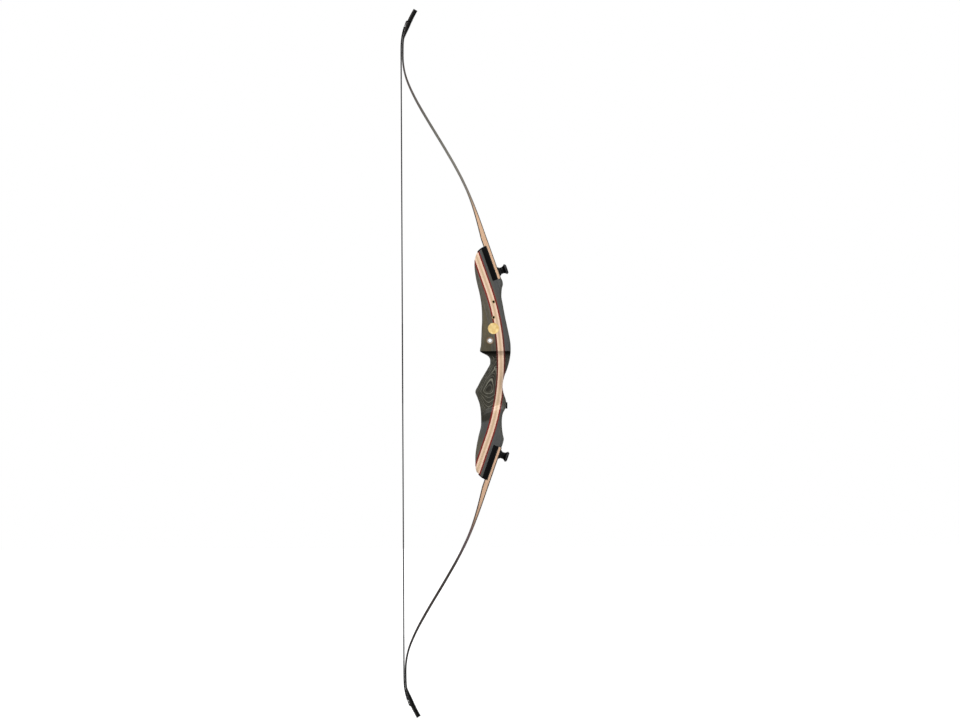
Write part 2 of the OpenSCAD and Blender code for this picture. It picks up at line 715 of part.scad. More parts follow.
// Limb bolts: the washer rests on the limb's back, the knob's stud turns in the insert
module bolt_washer(side) {
    color([0.08, 0.08, 0.08]) seat(side) difference() {
        square_rod(bolt_along, limb_back_off, limb_back_off + washer_t, washer_d);
        square_rod(bolt_along, limb_back_off - over, limb_back_off + washer_t + over, stud_d + 2 * bolt_gap);
    }
}
module bolt_knob(side) {
    rim = knob_d / 2;
    neck = neck_d / 2;
    bore = stud_d / 2;
    foot_h = 2.5;
    foot_w = 1.2;
    waist_h = knob_h * 0.47;
    rim_r = 2.2;
    end_r = neck + 2;
    dish = 2;
    dish_edge = 1.2;
    color([0.08, 0.08, 0.08]) seat(side)
        translate([limb_back_off + washer_t, 0, bolt_along]) rotate([0, 90, 0]) rotate_extrude($fn = 48)
        polygon(concat(
            [
                [bore, 0], [neck + foot_w, 0], [neck + foot_w, foot_h - foot_w], [neck, foot_h],
                [neck, waist_h]
            ],
            [
                for (a = [-60:24:60])
                    [rim - rim_r + rim_r * cos(a), knob_h - rim_down + rim_r * sin(a)]
            ],
            [
                [end_r, knob_h], [end_r - dish_edge, knob_h], [bore + dish_edge, knob_h - dish],
                [bore, knob_h - dish]
            ]
        ));
}
// How far the stud ends below the knob's end
stud_down = 4;
module bolt_stud(side) {
    color([0.6, 0.6, 0.62]) seat(side)
        square_rod(bolt_along, seat_off - stud_reach, limb_back_off + washer_t + knob_h - stud_down, stud_d);
}

// String: straight strands at the string's place, a served end along the recurve and a loop at the nock
serving_r = string_d / 2 + serving_t;
contact_s = arc_at[contact_arc];
contact = limb_point(contact_s, belly_depth(contact_s) + string_gap + serving_r, 0);
throat_s = nock_at - loop_len;
function lying_at(s) = limb_point(s, belly_depth(s) + string_gap + serving_r, 0);

// Ring of a round section about a centre, square to a direction in or out of the bow's plane
function round_ring(c, dir, side_dir, r, n) =
    let (u = dir / norm(dir), v = side_dir - u * (side_dir * u), a = v / norm(v), b = cross(u, a))
    [for (i = [0:n - 1]) c + r * cos(i * 360 / n) * a + r * sin(i * 360 / n) * b];
module tube_along(path, r, n) {
    last = len(path) - 1;
    sweep([
        for (i = [0:last])
            let (d = path[min(i + 1, last)] - path[max(i - 1, 0)])
            round_ring(path[i], d, [0.13, 1, 0.05], r, n)
    ]);
}
module served_end(side) {
    stops = sections(contact_s + turn_gap, throat_s);
    color([0.05, 0.05, 0.05]) half(side) tube_along([for (s = stops) lying_at(s)], serving_r, 8);
}
module string_half(side) {
    color([0.1, 0.1, 0.1]) half(side)
        translate([contact[0], 0, open_half]) cylinder(d = string_d, h = contact[2] - open_half);
}
module serving_sleeve(side, from_z, to_z) {
    color([0.05, 0.05, 0.05]) half(side) translate([contact[0], 0, from_z]) difference() {
        cylinder(r = serving_r, h = to_z - from_z);
        translate([0, 0, from_z < open_half ? open_half - from_z : -over])
            cylinder(d = string_d, h = to_z - from_z + 2 * over);
    }
}
// Loop: from the throat up one flank of the tip, across the back in the nock and down the other flank
loop_start = 1.2;
loop_corner = 1.2;
// Distance between the legs' middles at the throat, over the legs' diameter
throat_spread = 1.05;
// Shares of the straight runs beside the knee that its curve takes
knee_before = 0.25;
knee_after = 0.15;
flank_y = half_limb_w(nock_at) - nock_r + loop_r + loop_seat_gap;
loop_under = belly_depth(nock_at) + string_gap + serving_r;
function swapped(p) = [p[0], -p[1], p[2]];
module string_loop(side) {
    start = limb_point(throat_s + loop_start, loop_under, loop_r * throat_spread);
    knee = limb_point(flank_s(loop_under), loop_under, flank_y);
    top = limb_point(flank_s(loop_back_depth + loop_corner), loop_back_depth + loop_corner, flank_y);
    before = knee + (start - knee) * knee_before;
    after = knee + (top - knee) * knee_after;
    leg = concat(
        [start, before, (before + 2 * knee + after) / 4, after],
        [
            for (a = [0:30:90])
                let (d = loop_back_depth + loop_corner * (1 - sin(a)))
                limb_point(flank_s(d), d, flank_y - loop_corner * (1 - cos(a)))
        ]
    );
    path = concat(leg, [for (i = [len(leg) - 1:-1:0]) swapped(leg[i])]);
    last = len(path) - 1;
    out_of_back = limb_point(nock_at, -1, 0) - limb_point(nock_at, 0, 0);
    color([0.05, 0.05, 0.05]) half(side) sweep([
        for (i = [0:last])
            let (d = path[min(i + 1, last)] - path[max(i - 1, 0)])
            round_ring(path[i], d, out_of_back, loop_r, 8)
    ]);
}

riser_belly_block();
riser_belly_veneer();
riser_core_lower();
riser_core_upper();
riser_back_veneer_upper();
riser_back_veneer_lower();
riser_back_block_upper();
riser_back_block_lower();
limb_pad("upper");  // upper_limb_pad
limb_pad("lower");  // lower_limb_pad
bolt_insert("upper");  // upper_bolt_insert
bolt_insert("lower");  // lower_bolt_insert
locating_pin("upper");  // upper_locating_pin
locating_pin("lower");  // lower_locating_pin
stabiliser_bushing();
plunger_bushing();
sight_inserts();
medallion();
limb_butt_back_glass("upper");  // upper_limb_butt_back_glass
limb_butt_core("upper");  // upper_limb_butt_core
limb_wedge("upper");  // upper_limb_wedge
limb_butt_belly_glass("upper");  // upper_limb_butt_belly_glass
limb_butt_back_glass("lower");  // lower_limb_butt_back_glass
limb_butt_core("lower");  // lower_limb_butt_core
limb_wedge("lower");  // lower_limb_wedge
limb_butt_belly_glass("lower");  // lower_limb_butt_belly_glass
limb_back_glass("upper");  // upper_limb_back_glass
limb_core("upper");  // upper_limb_core
limb_belly_glass("upper");  // upper_limb_belly_glass
tip_overlay("upper");  // upper_tip_overlay
limb_back_glass("lower");  // lower_limb_back_glass
limb_core("lower");  // lower_limb_core
limb_belly_glass("lower");  // lower_limb_belly_glass
tip_overlay("lower");  // lower_tip_overlay
bolt_washer("upper");  // upper_bolt_washer
bolt_knob("upper");  // upper_bolt_knob
bolt_stud("upper");  // upper_bolt_stud
bolt_washer("lower");  // lower_bolt_washer
bolt_knob("lower");  // lower_bolt_knob
bolt_stud("lower");  // lower_bolt_stud
string_loop("upper");  // upper_string_loop
served_end("upper");  // upper_served_end
string_half("upper");  // upper_string
serving_sleeve("upper", end_serving_to, contact[2]);  // upper_end_serving
serving_sleeve("upper", 0, centre_serving_half);  // upper_centre_serving
string_loop("lower");  // lower_string_loop
served_end("lower");  // lower_served_end
string_half("lower");  // lower_string
serving_sleeve("lower", end_serving_to, contact[2]);  // lower_end_serving
serving_sleeve("lower", 0, centre_serving_half);  // lower_centre_serving
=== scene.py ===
import json
from math import ceil, cos, pi, radians, sin, sqrt, tan

import bmesh
import bpy
from mathutils import Matrix, Vector


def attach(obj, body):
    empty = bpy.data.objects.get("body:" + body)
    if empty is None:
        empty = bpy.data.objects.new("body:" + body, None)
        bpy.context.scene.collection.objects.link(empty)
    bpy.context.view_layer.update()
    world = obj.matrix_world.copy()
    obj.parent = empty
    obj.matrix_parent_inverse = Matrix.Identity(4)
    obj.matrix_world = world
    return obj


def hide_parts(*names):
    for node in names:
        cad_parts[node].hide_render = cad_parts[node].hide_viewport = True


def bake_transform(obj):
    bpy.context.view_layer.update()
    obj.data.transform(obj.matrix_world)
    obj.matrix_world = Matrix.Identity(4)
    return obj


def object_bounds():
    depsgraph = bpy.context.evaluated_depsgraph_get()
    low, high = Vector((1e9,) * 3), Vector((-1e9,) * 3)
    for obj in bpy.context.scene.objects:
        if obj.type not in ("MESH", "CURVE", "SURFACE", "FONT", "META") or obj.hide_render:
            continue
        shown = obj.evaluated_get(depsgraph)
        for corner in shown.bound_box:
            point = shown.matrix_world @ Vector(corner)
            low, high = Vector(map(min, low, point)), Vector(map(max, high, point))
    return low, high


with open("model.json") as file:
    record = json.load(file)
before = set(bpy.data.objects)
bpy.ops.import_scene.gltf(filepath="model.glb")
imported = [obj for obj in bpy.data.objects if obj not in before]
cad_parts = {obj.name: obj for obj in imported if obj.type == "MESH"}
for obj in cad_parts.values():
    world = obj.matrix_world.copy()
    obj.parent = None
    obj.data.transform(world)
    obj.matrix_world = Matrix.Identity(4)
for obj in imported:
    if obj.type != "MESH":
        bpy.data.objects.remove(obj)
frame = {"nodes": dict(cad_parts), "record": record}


def plain_box(box):
    return [[float(v) for v in corner] for corner in box]


cad_box = plain_box(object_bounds())

# Camera: a long lens square to the bow's plane, rolled a quarter of a degree as the photograph is
MM = 0.001
VIEW_WIDTH = 2.0563
CAMERA_DISTANCE = 10.0
SENSOR = 36.0
AIM_X = -0.0216
AIM_Z = 0.0035
ROLL = 0.00468
camera_data = bpy.data.cameras.new("camera")
camera_data.sensor_width = SENSOR
camera_data.lens = SENSOR * CAMERA_DISTANCE / VIEW_WIDTH
camera_data.clip_end = 60.0
camera = bpy.data.objects.new("camera", camera_data)
bpy.context.scene.collection.objects.link(camera)
right = Vector((1, 0, -ROLL)).normalized()
up = Vector((ROLL, 0, 1)).normalized()
turn = Matrix((right, up, Vector((0, -1, 0)))).transposed().to_4x4()
camera.matrix_world = Matrix.Translation(Vector((AIM_X, -CAMERA_DISTANCE, AIM_Z))) @ turn
bpy.context.scene.camera = camera

# Sizes, in millimetres, as in the model's own source
DROP = 3.0
RISER_W = 44.0
HALF_W = RISER_W / 2
THROAT_W = 28.0
PALM_W = 37.0
EDGE_R = 7.0
VENEER = 3.2
STRIPE = 11.8
STRIPE_R = 484.0
STRIPE_X = 23.3
SHELF_Z = 22.5
CUT_PAST = 4.0
WINDOW_Z = 140.0
WINDOW_R = 26.0
SEAT_LEAN = 19.3
LEAN = radians(SEAT_LEAN)
SEAT_OFF = 63.9
SHOULDER = 163.0
PAD_LEN = 76.0
BUTT_GAP = 0.4
WEDGE_AT = PAD_LEN - BUTT_GAP
PAD_T = 10.9
LIP_T = 2.2
END_SLOPE = 18.0
LIP_LEN = 10.0
LIP_BULGE = 1.0
BUTT_T = 8.0
GLASS = 1.2
MID_T = 5.2
TIP_T = 3.6
WEDGE_T = 3.4
LIMB_W = 44.0
RECURVE_W = 26.0
NOCK_W = 17.0
TIP_W = 12.0
OVERLAY_T = 5.5
NOCK_AT = 603.0
FLEX_AT = 222.0
NOCK_R = 1.5
STRING_D = 2.7
SERVING_R = 1.5
STRING_GAP = 0.3
END_SERVING_TO = 585.0
CENTRE_SERVING = 85.0
LOOP_LEN = 18.0
LOOP_R = 1.0
BOLT_ALONG = SHOULDER + 15.3
PIN_ALONG = BOLT_ALONG + 30.0
PIN_R = 3.0
PIN_DEPTH = 6
STUD_D = 7.8
BOLT_HOLE_R = 4.2
INSERT_D = 13.0
INSERT_LEN = 22.0
STUD_REACH = 20.0
WASHER_D = 20.0
WASHER_T = 2.0
KNOB_D = 22.6
NECK_D = 14.5
KNOB_H = 17.5
RIM_DOWN = 3.5
STABILISER = (32.5, -94.0)
FLANGE_D = 14.0
FLANGE_T = 4.2
BUSHING_D = 12.7
BUSHING_LEN = 10.5
BORE_D = 7.94
PLUNGER_Z = 45.2
PLUNGER_D = 16.0
SIGHT_Z = 94.4
SIGHT_GAP = 33.34
SIGHT_X = 7.9
SIGHT_BORE = 4.8
SIGHT_D = 7.5
SIGHT_LEN = 12.0
MEDALLION = (7.6, 70.7)
MEDALLION_D = 23.8
MEDALLION_T = 2.4
PROUD = 0.3
LIMB_BELLY = SEAT_OFF + PAD_T
LIMB_BACK = LIMB_BELLY + BUTT_T
PAD_END = SHOULDER + PAD_LEN
TURN_OFF = LIMB_BELLY - WEDGE_T - GLASS - 0.3
SIDES = ("upper", "lower")

# The riser from below to above: its outline, its width and the rounding of its edges
BELLY_LINE = [
    (-262, -15), (-244, -25.5), (-235, -30.2), (-222.6, -32.7), (-206.3, -32.7), (-181.7, -30),
    (-160.7, -25.8), (-132.1, -19.9), (-107.4, -20.6), (-90.9, -23.1), (-76.1, -28), (-65, -32),
    (-50.2, -25.3), (-37.2, -18.6), (-13.5, -4.6), (-3.6, 0), (3.6, 0), (10.3, -3), (14.4, -8.7),
    (18.5, -16.8), (22.6, -21.7), (36.3, -19.5), (69.9, -17.9), (90.5, -16.9), (118.3, -17.9),
    (141.3, -21.2), (177.1, -29.2), (199.1, -32.3), (213.9, -32.6), (222, -31), (235.3, -26.5),
    (262, -17),
]
BACK_LINE = [
    (-262, 12), (-200, 18), (-185.2, 22.9), (-176.2, 26.2), (-165.3, 28.6), (-156.7, 26.7),
    (-136.3, 24.6), (-123.9, 24.7), (-110.9, 26.9), (-101.9, 31.4), (-92, 34), (-82.2, 33.5),
    (-71.7, 29.9), (-55.6, 26.7), (-45.5, 27.2), (-31.6, 30.5), (-18.6, 35.5), (-2.3, 40.5),
    (11.8, 43.3), (24, 44.2), (40.7, 43.5), (71.4, 37.6), (94.3, 32.8), (123, 27.6), (140.2, 24.9),
    (156.2, 26), (165, 28.2), (173, 27), (179, 24), (200, 16), (262, 8),
]
HALF_WIDTH_LINE = [
    (-262, HALF_W), (-112, HALF_W), (-104, HALF_W - 1.5), (-95, THROAT_W / 2 + 1.5),
    (-65, PALM_W / 2), (-40, PALM_W / 2 - 2), (-12, THROAT_W / 2), (2, THROAT_W / 2),
    (9, THROAT_W / 2 + 0.3), (15, THROAT_W / 2 + 1.8), (19.5, THROAT_W / 2 + 4.6), (22, HALF_W - 0.6),
    (23.5, HALF_W), (262, HALF_W),
]
# Height, how far in from the belly and from the back the edge is rounded, and how much width that takes off
ROUNDING = [
    (-262, EDGE_R, EDGE_R, EDGE_R), (-112, EDGE_R, EDGE_R, EDGE_R), (-95, 20, 10, 9), (-65, 36, 24, 14.5),
    (-40, 27, 22, 13.5), (-8, 18, 22, 12.5), (8, 12, 15, 11), (24, EDGE_R, EDGE_R, EDGE_R),
    (262, EDGE_R, EDGE_R, EDGE_R),
]
BELLY_ROUND, BACK_ROUND, CROSS_ROUND = [[(row[0], row[k]) for row in ROUNDING] for k in (1, 2, 3)]
PARTING_Z = -48.0
FEATHER = 0.35
FAR = 90.0
WINDOW_EDGE = 3.5
WINDOW_FILLET = 2.5
WINDOW_SOFT = 3.0
# The swell at the foot of the grip leans: its widths are taken at a level that falls with x
SWELL_TOP = -75
SWELL_FADE = 20
SWELL_SLOPE = 0.3
SWELL_X = 8
THINNEST = 0.5


def clamp(v, lo, hi):
    return min(max(v, lo), hi)


def slope_at(rows, i):
    """Slope of the smooth line through rows at one of them, level where it peaks."""
    lo, hi = max(i - 1, 0), min(i + 1, len(rows) - 1)
    before, after = rows[i][1] - rows[lo][1], rows[hi][1] - rows[i][1]
    return 0 if before * after <= 0 else (rows[hi][1] - rows[lo][1]) / (rows[hi][0] - rows[lo][0])


def smooth_at(rows, p):
    """Value at a place on the smooth line through rows of a place and a value."""
    i = 0
    while i < len(rows) - 2 and p >= rows[i + 1][0]:
        i += 1
    span = rows[i + 1][0] - rows[i][0]
    t = clamp((p - rows[i][0]) / span, 0, 1)
    ma, mb = slope_at(rows, i) * span, slope_at(rows, i + 1) * span
    return ((2 * t**3 - 3 * t * t + 1) * rows[i][1] + (t**3 - 2 * t * t + t) * ma
            + (3 * t * t - 2 * t**3) * rows[i + 1][1] + (t**3 - t * t) * mb)


def bent_x(z, offset):
    """Where a lamination that lies at this offset from the stripe's middle is, at a height."""
    r, h, x0 = STRIPE_R + offset, abs(z + DROP), STRIPE_X - STRIPE_R
    if h < r * sin(LEAN):
        return x0 + sqrt(r * r - h * h)
    return x0 + (r - h * sin(LEAN)) / cos(LEAN)


def edge_fall(depth, reach, most):
    """How far an edge rounded over a reach lies back at a depth, where it falls away by most."""
    if depth >= reach:
        return 0.0
    return most * (1 - sqrt(max(0.0, 1 - (1 - depth / reach) ** 2)))


def quarter_fall(r, depth):
    """How far an edge rounded with a radius lies back at a depth."""
    return r - sqrt(max(0, r**2 - (r - clamp(depth, 0, r)) ** 2))


def half_width_at(x, z):
    """Half width of the riser, less the rounding of its belly and back edges."""
    level = z - SWELL_SLOPE * (x - SWELL_X) * clamp((SWELL_TOP - z) / SWELL_FADE, 0, 1)
    w = smooth_at(HALF_WIDTH_LINE, level)
    most = min(smooth_at(CROSS_ROUND, level), w - THINNEST)
    front = edge_fall(x - smooth_at(BELLY_LINE, z), smooth_at(BELLY_ROUND, level), most)
    rear = edge_fall(smooth_at(BACK_LINE, z) - x, smooth_at(BACK_ROUND, level), most)
    return w - min(max(front, rear), w - THINNEST)


def soft_min(a, b, k):
    """The lesser of two, rounded over where they come within k."""
    h = max(k - abs(a - b), 0.0) / k
    return min(a, b) - h * h * k / 4


def far_side(x, z, above):
    """Half width on the side of the sight window, whose edges are rounded."""
    w = half_width_at(x, z)
    if z <= SHELF_Z and not above:
        return w - quarter_fall(WINDOW_FILLET, SHELF_Z - z)
    if z - WINDOW_Z >= WINDOW_R:
        return w
    if z > WINDOW_Z:
        y = WINDOW_R - CUT_PAST - sqrt(WINDOW_R**2 - (z - WINDOW_Z) ** 2)
    else:
        y = -CUT_PAST + quarter_fall(WINDOW_FILLET, z - SHELF_Z)
    depth = min(x - smooth_at(BELLY_LINE, z), smooth_at(BACK_LINE, z) - x)
    y -= clamp((WINDOW_Z + WINDOW_R - z) / WINDOW_R, 0, 1) * quarter_fall(WINDOW_EDGE, depth)
    return soft_min(w, y, WINDOW_SOFT)


# Solids

def link(obj):
    bpy.context.scene.collection.objects.link(obj)
    return obj


def rework(mesh, work):
    """Opens a mesh for a function that works on it, and writes it back."""
    bm = bmesh.new()
    bm.from_mesh(mesh)
    work(bm)
    bm.to_mesh(mesh)
    bm.free()


def new_mesh(name, points, faces):
    """A mesh object from points in millimetres, with its faces turned outwards."""
    mesh = bpy.data.meshes.new(name)
    mesh.from_pydata([(p[0] * MM, p[1] * MM, p[2] * MM) for p in points], [], faces)
    rework(mesh, lambda bm: bmesh.ops.recalc_face_normals(bm, faces=bm.faces))
    return link(bpy.data.objects.new(name, mesh))


def circle(steps):
    """Cosine and sine of evenly spaced angles all round."""
    angles = [2 * pi * i / steps for i in range(steps)]
    return [(cos(a), sin(a)) for a in angles]


def skin(n, pairs):
    """Faces between pairs of rings of n points."""
    return [(a * n + i, a * n + (i + 1) % n, b * n + (i + 1) % n, b * n + i)
            for a, b in pairs for i in range(n)]


def loft(name, rings):
    """Closed solid through rings of equally many points."""
    n, last = len(rings[0]), len(rings) - 1
    faces = skin(n, [(k, k + 1) for k in range(last)])
    faces += [tuple(range(n))[::-1], tuple(last * n + i for i in range(n))]
    return new_mesh(name, [p for ring in rings for p in ring], faces)


def lathe(name, profile, place, steps=96):
    """Solid of revolution from a closed outline of [radius, height]; place maps a point to the bow."""
    points = [place((r * c, r * s, h)) for c, s in circle(steps) for r, h in profile]
    obj = new_mesh(name, points, skin(len(profile), [(k, (k + 1) % steps) for k in range(steps)]))

    def close(bm):
        bmesh.ops.remove_doubles(bm, verts=bm.verts, dist=1e-6)
        bmesh.ops.dissolve_degenerate(bm, dist=1e-7, edges=bm.edges)
        bmesh.ops.recalc_face_normals(bm, faces=bm.faces)

    rework(obj.data, close)
    return obj


def prism(name, outline, y0, y1):
    """Solid with an outline of points in the bow's plane, between two places across it."""
    n = len(outline)
    points = [(x, y, z) for y in (y0, y1) for x, z in outline]
    faces = [tuple(range(n)), tuple(range(n, 2 * n))[::-1]]
    faces += [(i, (i + 1) % n, n + (i + 1) % n, n + i) for i in range(n)]
    return new_mesh(name, points, faces)


def rod(name, start, end, r, steps=48):
    """Cylinder between two points."""
    a, b = Vector(start), Vector(end)
    w = (b - a).normalized()
    u = w.orthogonal().normalized()
    v = w.cross(u)
    return loft(name, [[tuple(end_at + r * c * u + r * s * v) for c, s in circle(steps)]
                       for end_at in (a, b)])


def carve(obj, cutters):
    """Cuts solids out of obj, and applies the result to its mesh."""
    for cutter in cutters:
        cut = obj.modifiers.new("cut", "BOOLEAN")
        cut.operation = "DIFFERENCE"
        cut.solver = "EXACT"
        cut.object = cutter
    graph = bpy.context.evaluated_depsgraph_get()
    mesh = bpy.data.meshes.new_from_object(obj.evaluated_get(graph))
    obj.modifiers.clear()
    old = obj.data
    obj.data = mesh
    bpy.data.meshes.remove(old)
    return obj


def drop(cutters):
    for cutter in cutters:
        bpy.data.objects.remove(cutter, do_unlink=True)


def shade(obj, angle):
    """Smooth shading, with sharp edges where the faces turn by more than the angle."""
    def mark(bm):
        for face in bm.faces:
            face.smooth = True
        for edge in bm.edges:
            edge.smooth = len(edge.link_faces) == 2 and edge.calc_face_angle(0) < radians(angle)

    rework(obj.data, mark)


def store(obj, name, rows):
    """Stores three numbers for each point of a mesh."""
    layer = obj.data.attributes.new(name, "FLOAT_VECTOR", "POINT")
    layer.data.foreach_set("vector", [v for row in rows for v in row])


def grain(obj, rule):
    """Stores where each point lies in its board, so that the grain follows the board's bend."""
    store(obj, "grain", [rule(v.co / MM) for v in obj.data.vertices])


def riser_grain(p):
    return (p[0] - bent_x(p[2], 0), p[1], p[2])


def limb_faces(obj):
    """Stores how far each point of a lamination lies from the limb's belly face, and the half width there."""
    rows = []
    for point in obj.data.attributes["grain"].data:
        s = clamp(point.vector[2], 0, LIMB_LEN)
        rows.append((belly_depth(s) + point.vector[0], 0, half_limb_w(s)))
    store(obj, "faces", rows)


# Materials

def tone(value):
    """Linear colour with alpha, from a hex code or from a linear grey."""
    if isinstance(value, str):
        parts = [int(value[i:i + 2], 16) / 255 for i in (0, 2, 4)]
        return (*[c / 12.92 if c <= 0.04045 else ((c + 0.055) / 1.055) ** 2.4 for c in parts], 1)
    return (value, value, value, 1)


class Tree:
    """A node tree, with short names for the nodes that it is built from."""

    def __init__(self, tree):
        self.tree = tree

    def node(self, kind, values=None, **settings):
        """A node with its settings and, by name or number, what goes into its inputs."""
        node = self.tree.nodes.new("ShaderNode" + kind)
        for key, value in settings.items():
            setattr(node, key, value)
        return self.feed(node, values or {})

    def feed(self, node, values):
        """Wires outputs to a node's inputs, or sets these to numbers or to the colours of hex codes."""
        for key, value in values.items():
            if hasattr(value, "is_linked"):
                self.tree.links.new(value, node.inputs[key])
            else:
                node.inputs[key].default_value = tone(value) if isinstance(value, str) else value
        return node

    def math(self, kind, a, b=0.0):
        return self.node("Math", {0: a, 1: b}, operation=kind).outputs[0]

    def plus(self, a, b):
        return self.math("ADD", a, b)

    def minus(self, a, b):
        return self.math("SUBTRACT", a, b)

    def times(self, a, b):
        return self.math("MULTIPLY", a, b)

    def between(self, value, lo, hi):
        """0 where the value is lo and 1 where it is hi."""
        return self.times(self.minus(value, lo), 1 / (hi - lo))

    def ramp(self, value, stops):
        """Colour by a value; stops holds rows of a place from 0 to 1 and a grey or a hex code."""
        node = self.node("ValToRGB", {"Fac": value})
        while len(node.color_ramp.elements) < len(stops):
            node.color_ramp.elements.new(0.5)
        for element, (at, colour) in zip(node.color_ramp.elements, stops):
            element.position = at
            element.color = tone(colour)
        return node.outputs["Color"]


class Paint(Tree):
    """A material of a plain shader, whose textures lie in a board's own frame or in the bow's."""

    def __init__(self, name):
        self.material = bpy.data.materials.new(name)
        self.material.use_nodes = True
        super().__init__(self.material.node_tree)
        self.shader = self.tree.nodes["Principled BSDF"]

    def place(self, scale, attribute):
        """Scaled place in a mesh attribute, in millimetres, or without one in the bow, in metres."""
        if attribute:
            source = self.node("Attribute", attribute_name=attribute).outputs["Vector"]
        else:
            source = self.node("TexCoord").outputs["Object"]
        return self.node("Mapping", {"Scale": scale, "Vector": source}).outputs["Vector"]

    def xyz(self, attribute="grain"):
        """The three parts of a place, in millimetres."""
        return self.node("SeparateXYZ", {0: self.place((1 if attribute else 1 / MM,) * 3, attribute)}).outputs

    def noise(self, scale, detail=3.0, roughness=0.5, attribute="grain"):
        return self.node("TexNoise", {"Scale": 1.0, "Detail": detail, "Roughness": roughness,
                                      "Vector": self.place(scale, attribute)}).outputs["Fac"]

    def mix(self, factor, a, b):
        return self.node("Mix", {0: factor, 6: a, 7: b}, data_type="RGBA").outputs[2]

    def stain(self, colour, value, stops, stained, share=None):
        """Mixes a second colour in by a ramp over a value, or by a share of that ramp."""
        amount = self.ramp(value, stops)
        return self.mix(self.times(amount, share) if share else amount, colour, stained)

    def bump(self, height, strength, distance):
        node = self.node("Bump", {"Strength": strength, "Distance": distance, "Height": height})
        self.feed(self.shader, {"Normal": node.outputs["Normal"]})

    def finish(self, colour, rough, specular, metallic=0.0):
        self.feed(self.shader, {"Base Color": colour, "Roughness": rough, "Specular IOR Level": specular,
                                "Metallic": metallic})
        return self.material


SHEET_T = 1.3
SHEET_SLANT = -0.1
SHEET_RISE = 0.075
RISE_FROM = -72


def dark_laminate():
    """Dyed sheets stacked across the bow: the flat faces show one, the carved grip shows contour rings."""
    p = Paint("riser_dark_laminate")
    at = p.xyz()
    across = p.math("ABSOLUTE", at["Y"])
    share = p.times(across, 1 / HALF_W)
    height = p.between(at["Z"], -130, 30)
    grip = p.ramp(height, [(0.12, 0), (0.25, 1), (0.74, 1), (0.94, 0)])
    belly_side = p.math("LESS_THAN", at["X"], 0.0)
    # The sheets lie a little aslant in the grip, so that the rings lean as the carving does
    rise = p.math("MAXIMUM", p.minus(at["Z"], RISE_FROM), 0.0)
    slant = p.plus(p.times(at["X"], SHEET_SLANT), p.times(rise, SHEET_RISE))
    slant = p.times(p.times(slant, p.ramp(share, [(0.86, 1), (0.97, 0)])), grip)
    wobble = p.times(p.noise((0.04, 0.04, 0.018), 2), 0.45)
    level = p.plus(p.times(p.plus(across, slant), 1 / SHEET_T), wobble)
    sheet = p.node("TexWhiteNoise", {"W": p.math("FLOOR", level)}, noise_dimensions="1D")
    colour = p.ramp(sheet.outputs["Value"], [
        (0.0, "3f3e37"), (0.3, "48463e"), (0.6, "3c3c39"), (0.85, "504d44"), (1.0, "393934")])
    # Grain, cool and warm dye, and pores
    streak = p.noise((0.9, 0.5, 0.022), 5, 0.62)
    colour = p.stain(colour, streak, [(0.36, 0), (0.66, 0.75)], "706c62")
    back = p.between(at["X"], -20, 20)
    cool = p.times(p.noise((0.09, 0.05, 0.01), 2), p.plus(back, 0.35))
    colour = p.stain(colour, cool, [(0.3, 0), (0.62, 0.6)], "45494f")
    warm = p.times(p.noise((0.3, 0.1, 0.006), 2), p.minus(1.25, back))
    colour = p.stain(colour, warm, [(0.56, 0), (0.7, 0.55)], "5e5233")
    pore = p.noise((5.0, 3.0, 0.14), 2)
    colour = p.stain(colour, pore, [(0.52, 0), (0.7, 0.7)], "22211d")
    # Darker wood in the carved grip, at its front edge and over the shelf, and darker at the heel of the
    # belly side; a painted shade under the shelf
    depth = p.ramp(height, [(0.3, 0.8), (0.5, 0.95), (0.9, 0.9)])
    colour = p.stain(colour, share, [(0.8, 1), (0.98, 0)], "1a1914", depth)
    colour = p.stain(colour, share, [(0.25, 0.9), (0.6, 0)], "0e0d0a", grip)
    # Painted shade: a near-black band just under the shelf's edge, where the ledge's underside is in shade
    shaded = p.ramp(p.between(at["Z"], 4, 24), [(0.0, 0), (0.45, 0.5), (0.7, 0.93), (0.91, 0.96), (0.93, 0)])
    colour = p.mix(shaded, colour, "0b0a07")
    heel = p.plus(p.plus(p.times(at["Z"], 1 / 60), p.times(at["X"], -1 / 160)), 2.1)
    heel = p.times(p.ramp(heel, [(0.0, 0), (0.12, 0.85), (0.42, 0.85), (0.6, 0)]), belly_side)
    colour = p.mix(heel, colour, "1e1d18")
    below = p.between(at["Z"], -180, -120)
    colour = p.stain(colour, below, [(0.1, 0), (0.5, 0.55), (0.8, 0.6), (0.92, 0)], "40464c", belly_side)
    above = p.between(at["Z"], SHELF_Z, SHELF_Z + 40)
    colour = p.stain(colour, above, [(0.0, 0), (0.02, 0.5), (0.4, 0.35), (0.9, 0)], "35332c", belly_side)
    # Glue lines between the sheets, with fainter ones inside each, left out at the heel and in the painted
    # shade under the shelf
    strong = p.ramp(p.math("FRACT", level), [(0.0, 0.7), (0.07, 1), (0.17, 0), (0.92, 0), (1.0, 0.7)])
    faint = p.ramp(p.math("FRACT", p.times(level, 3)), [
        (0.0, 0.3), (0.12, 0.4), (0.36, 0), (0.86, 0), (1.0, 0.3)])
    line = p.times(p.math("MAXIMUM", strong, faint), p.minus(1.0, p.math("MAXIMUM", heel, shaded)))
    broken = p.ramp(p.noise((0.12, 0.3, 0.05)), [(0.3, 0.35), (0.65, 1)])
    carved = p.ramp(share, [(0.94, 1), (0.985, 0.08)])
    colour = p.mix(p.times(p.times(line, broken), carved), colour, "8f8d7f")
    p.bump(p.plus(streak, p.times(pore, 0.6)), 0.1, 0.0003)
    # The gloss fades in the painted shade under the shelf
    return p.finish(colour, p.ramp(streak, [(0.3, 0.4), (0.75, 0.55)]), p.times(p.minus(1.0, shaded), 0.12))


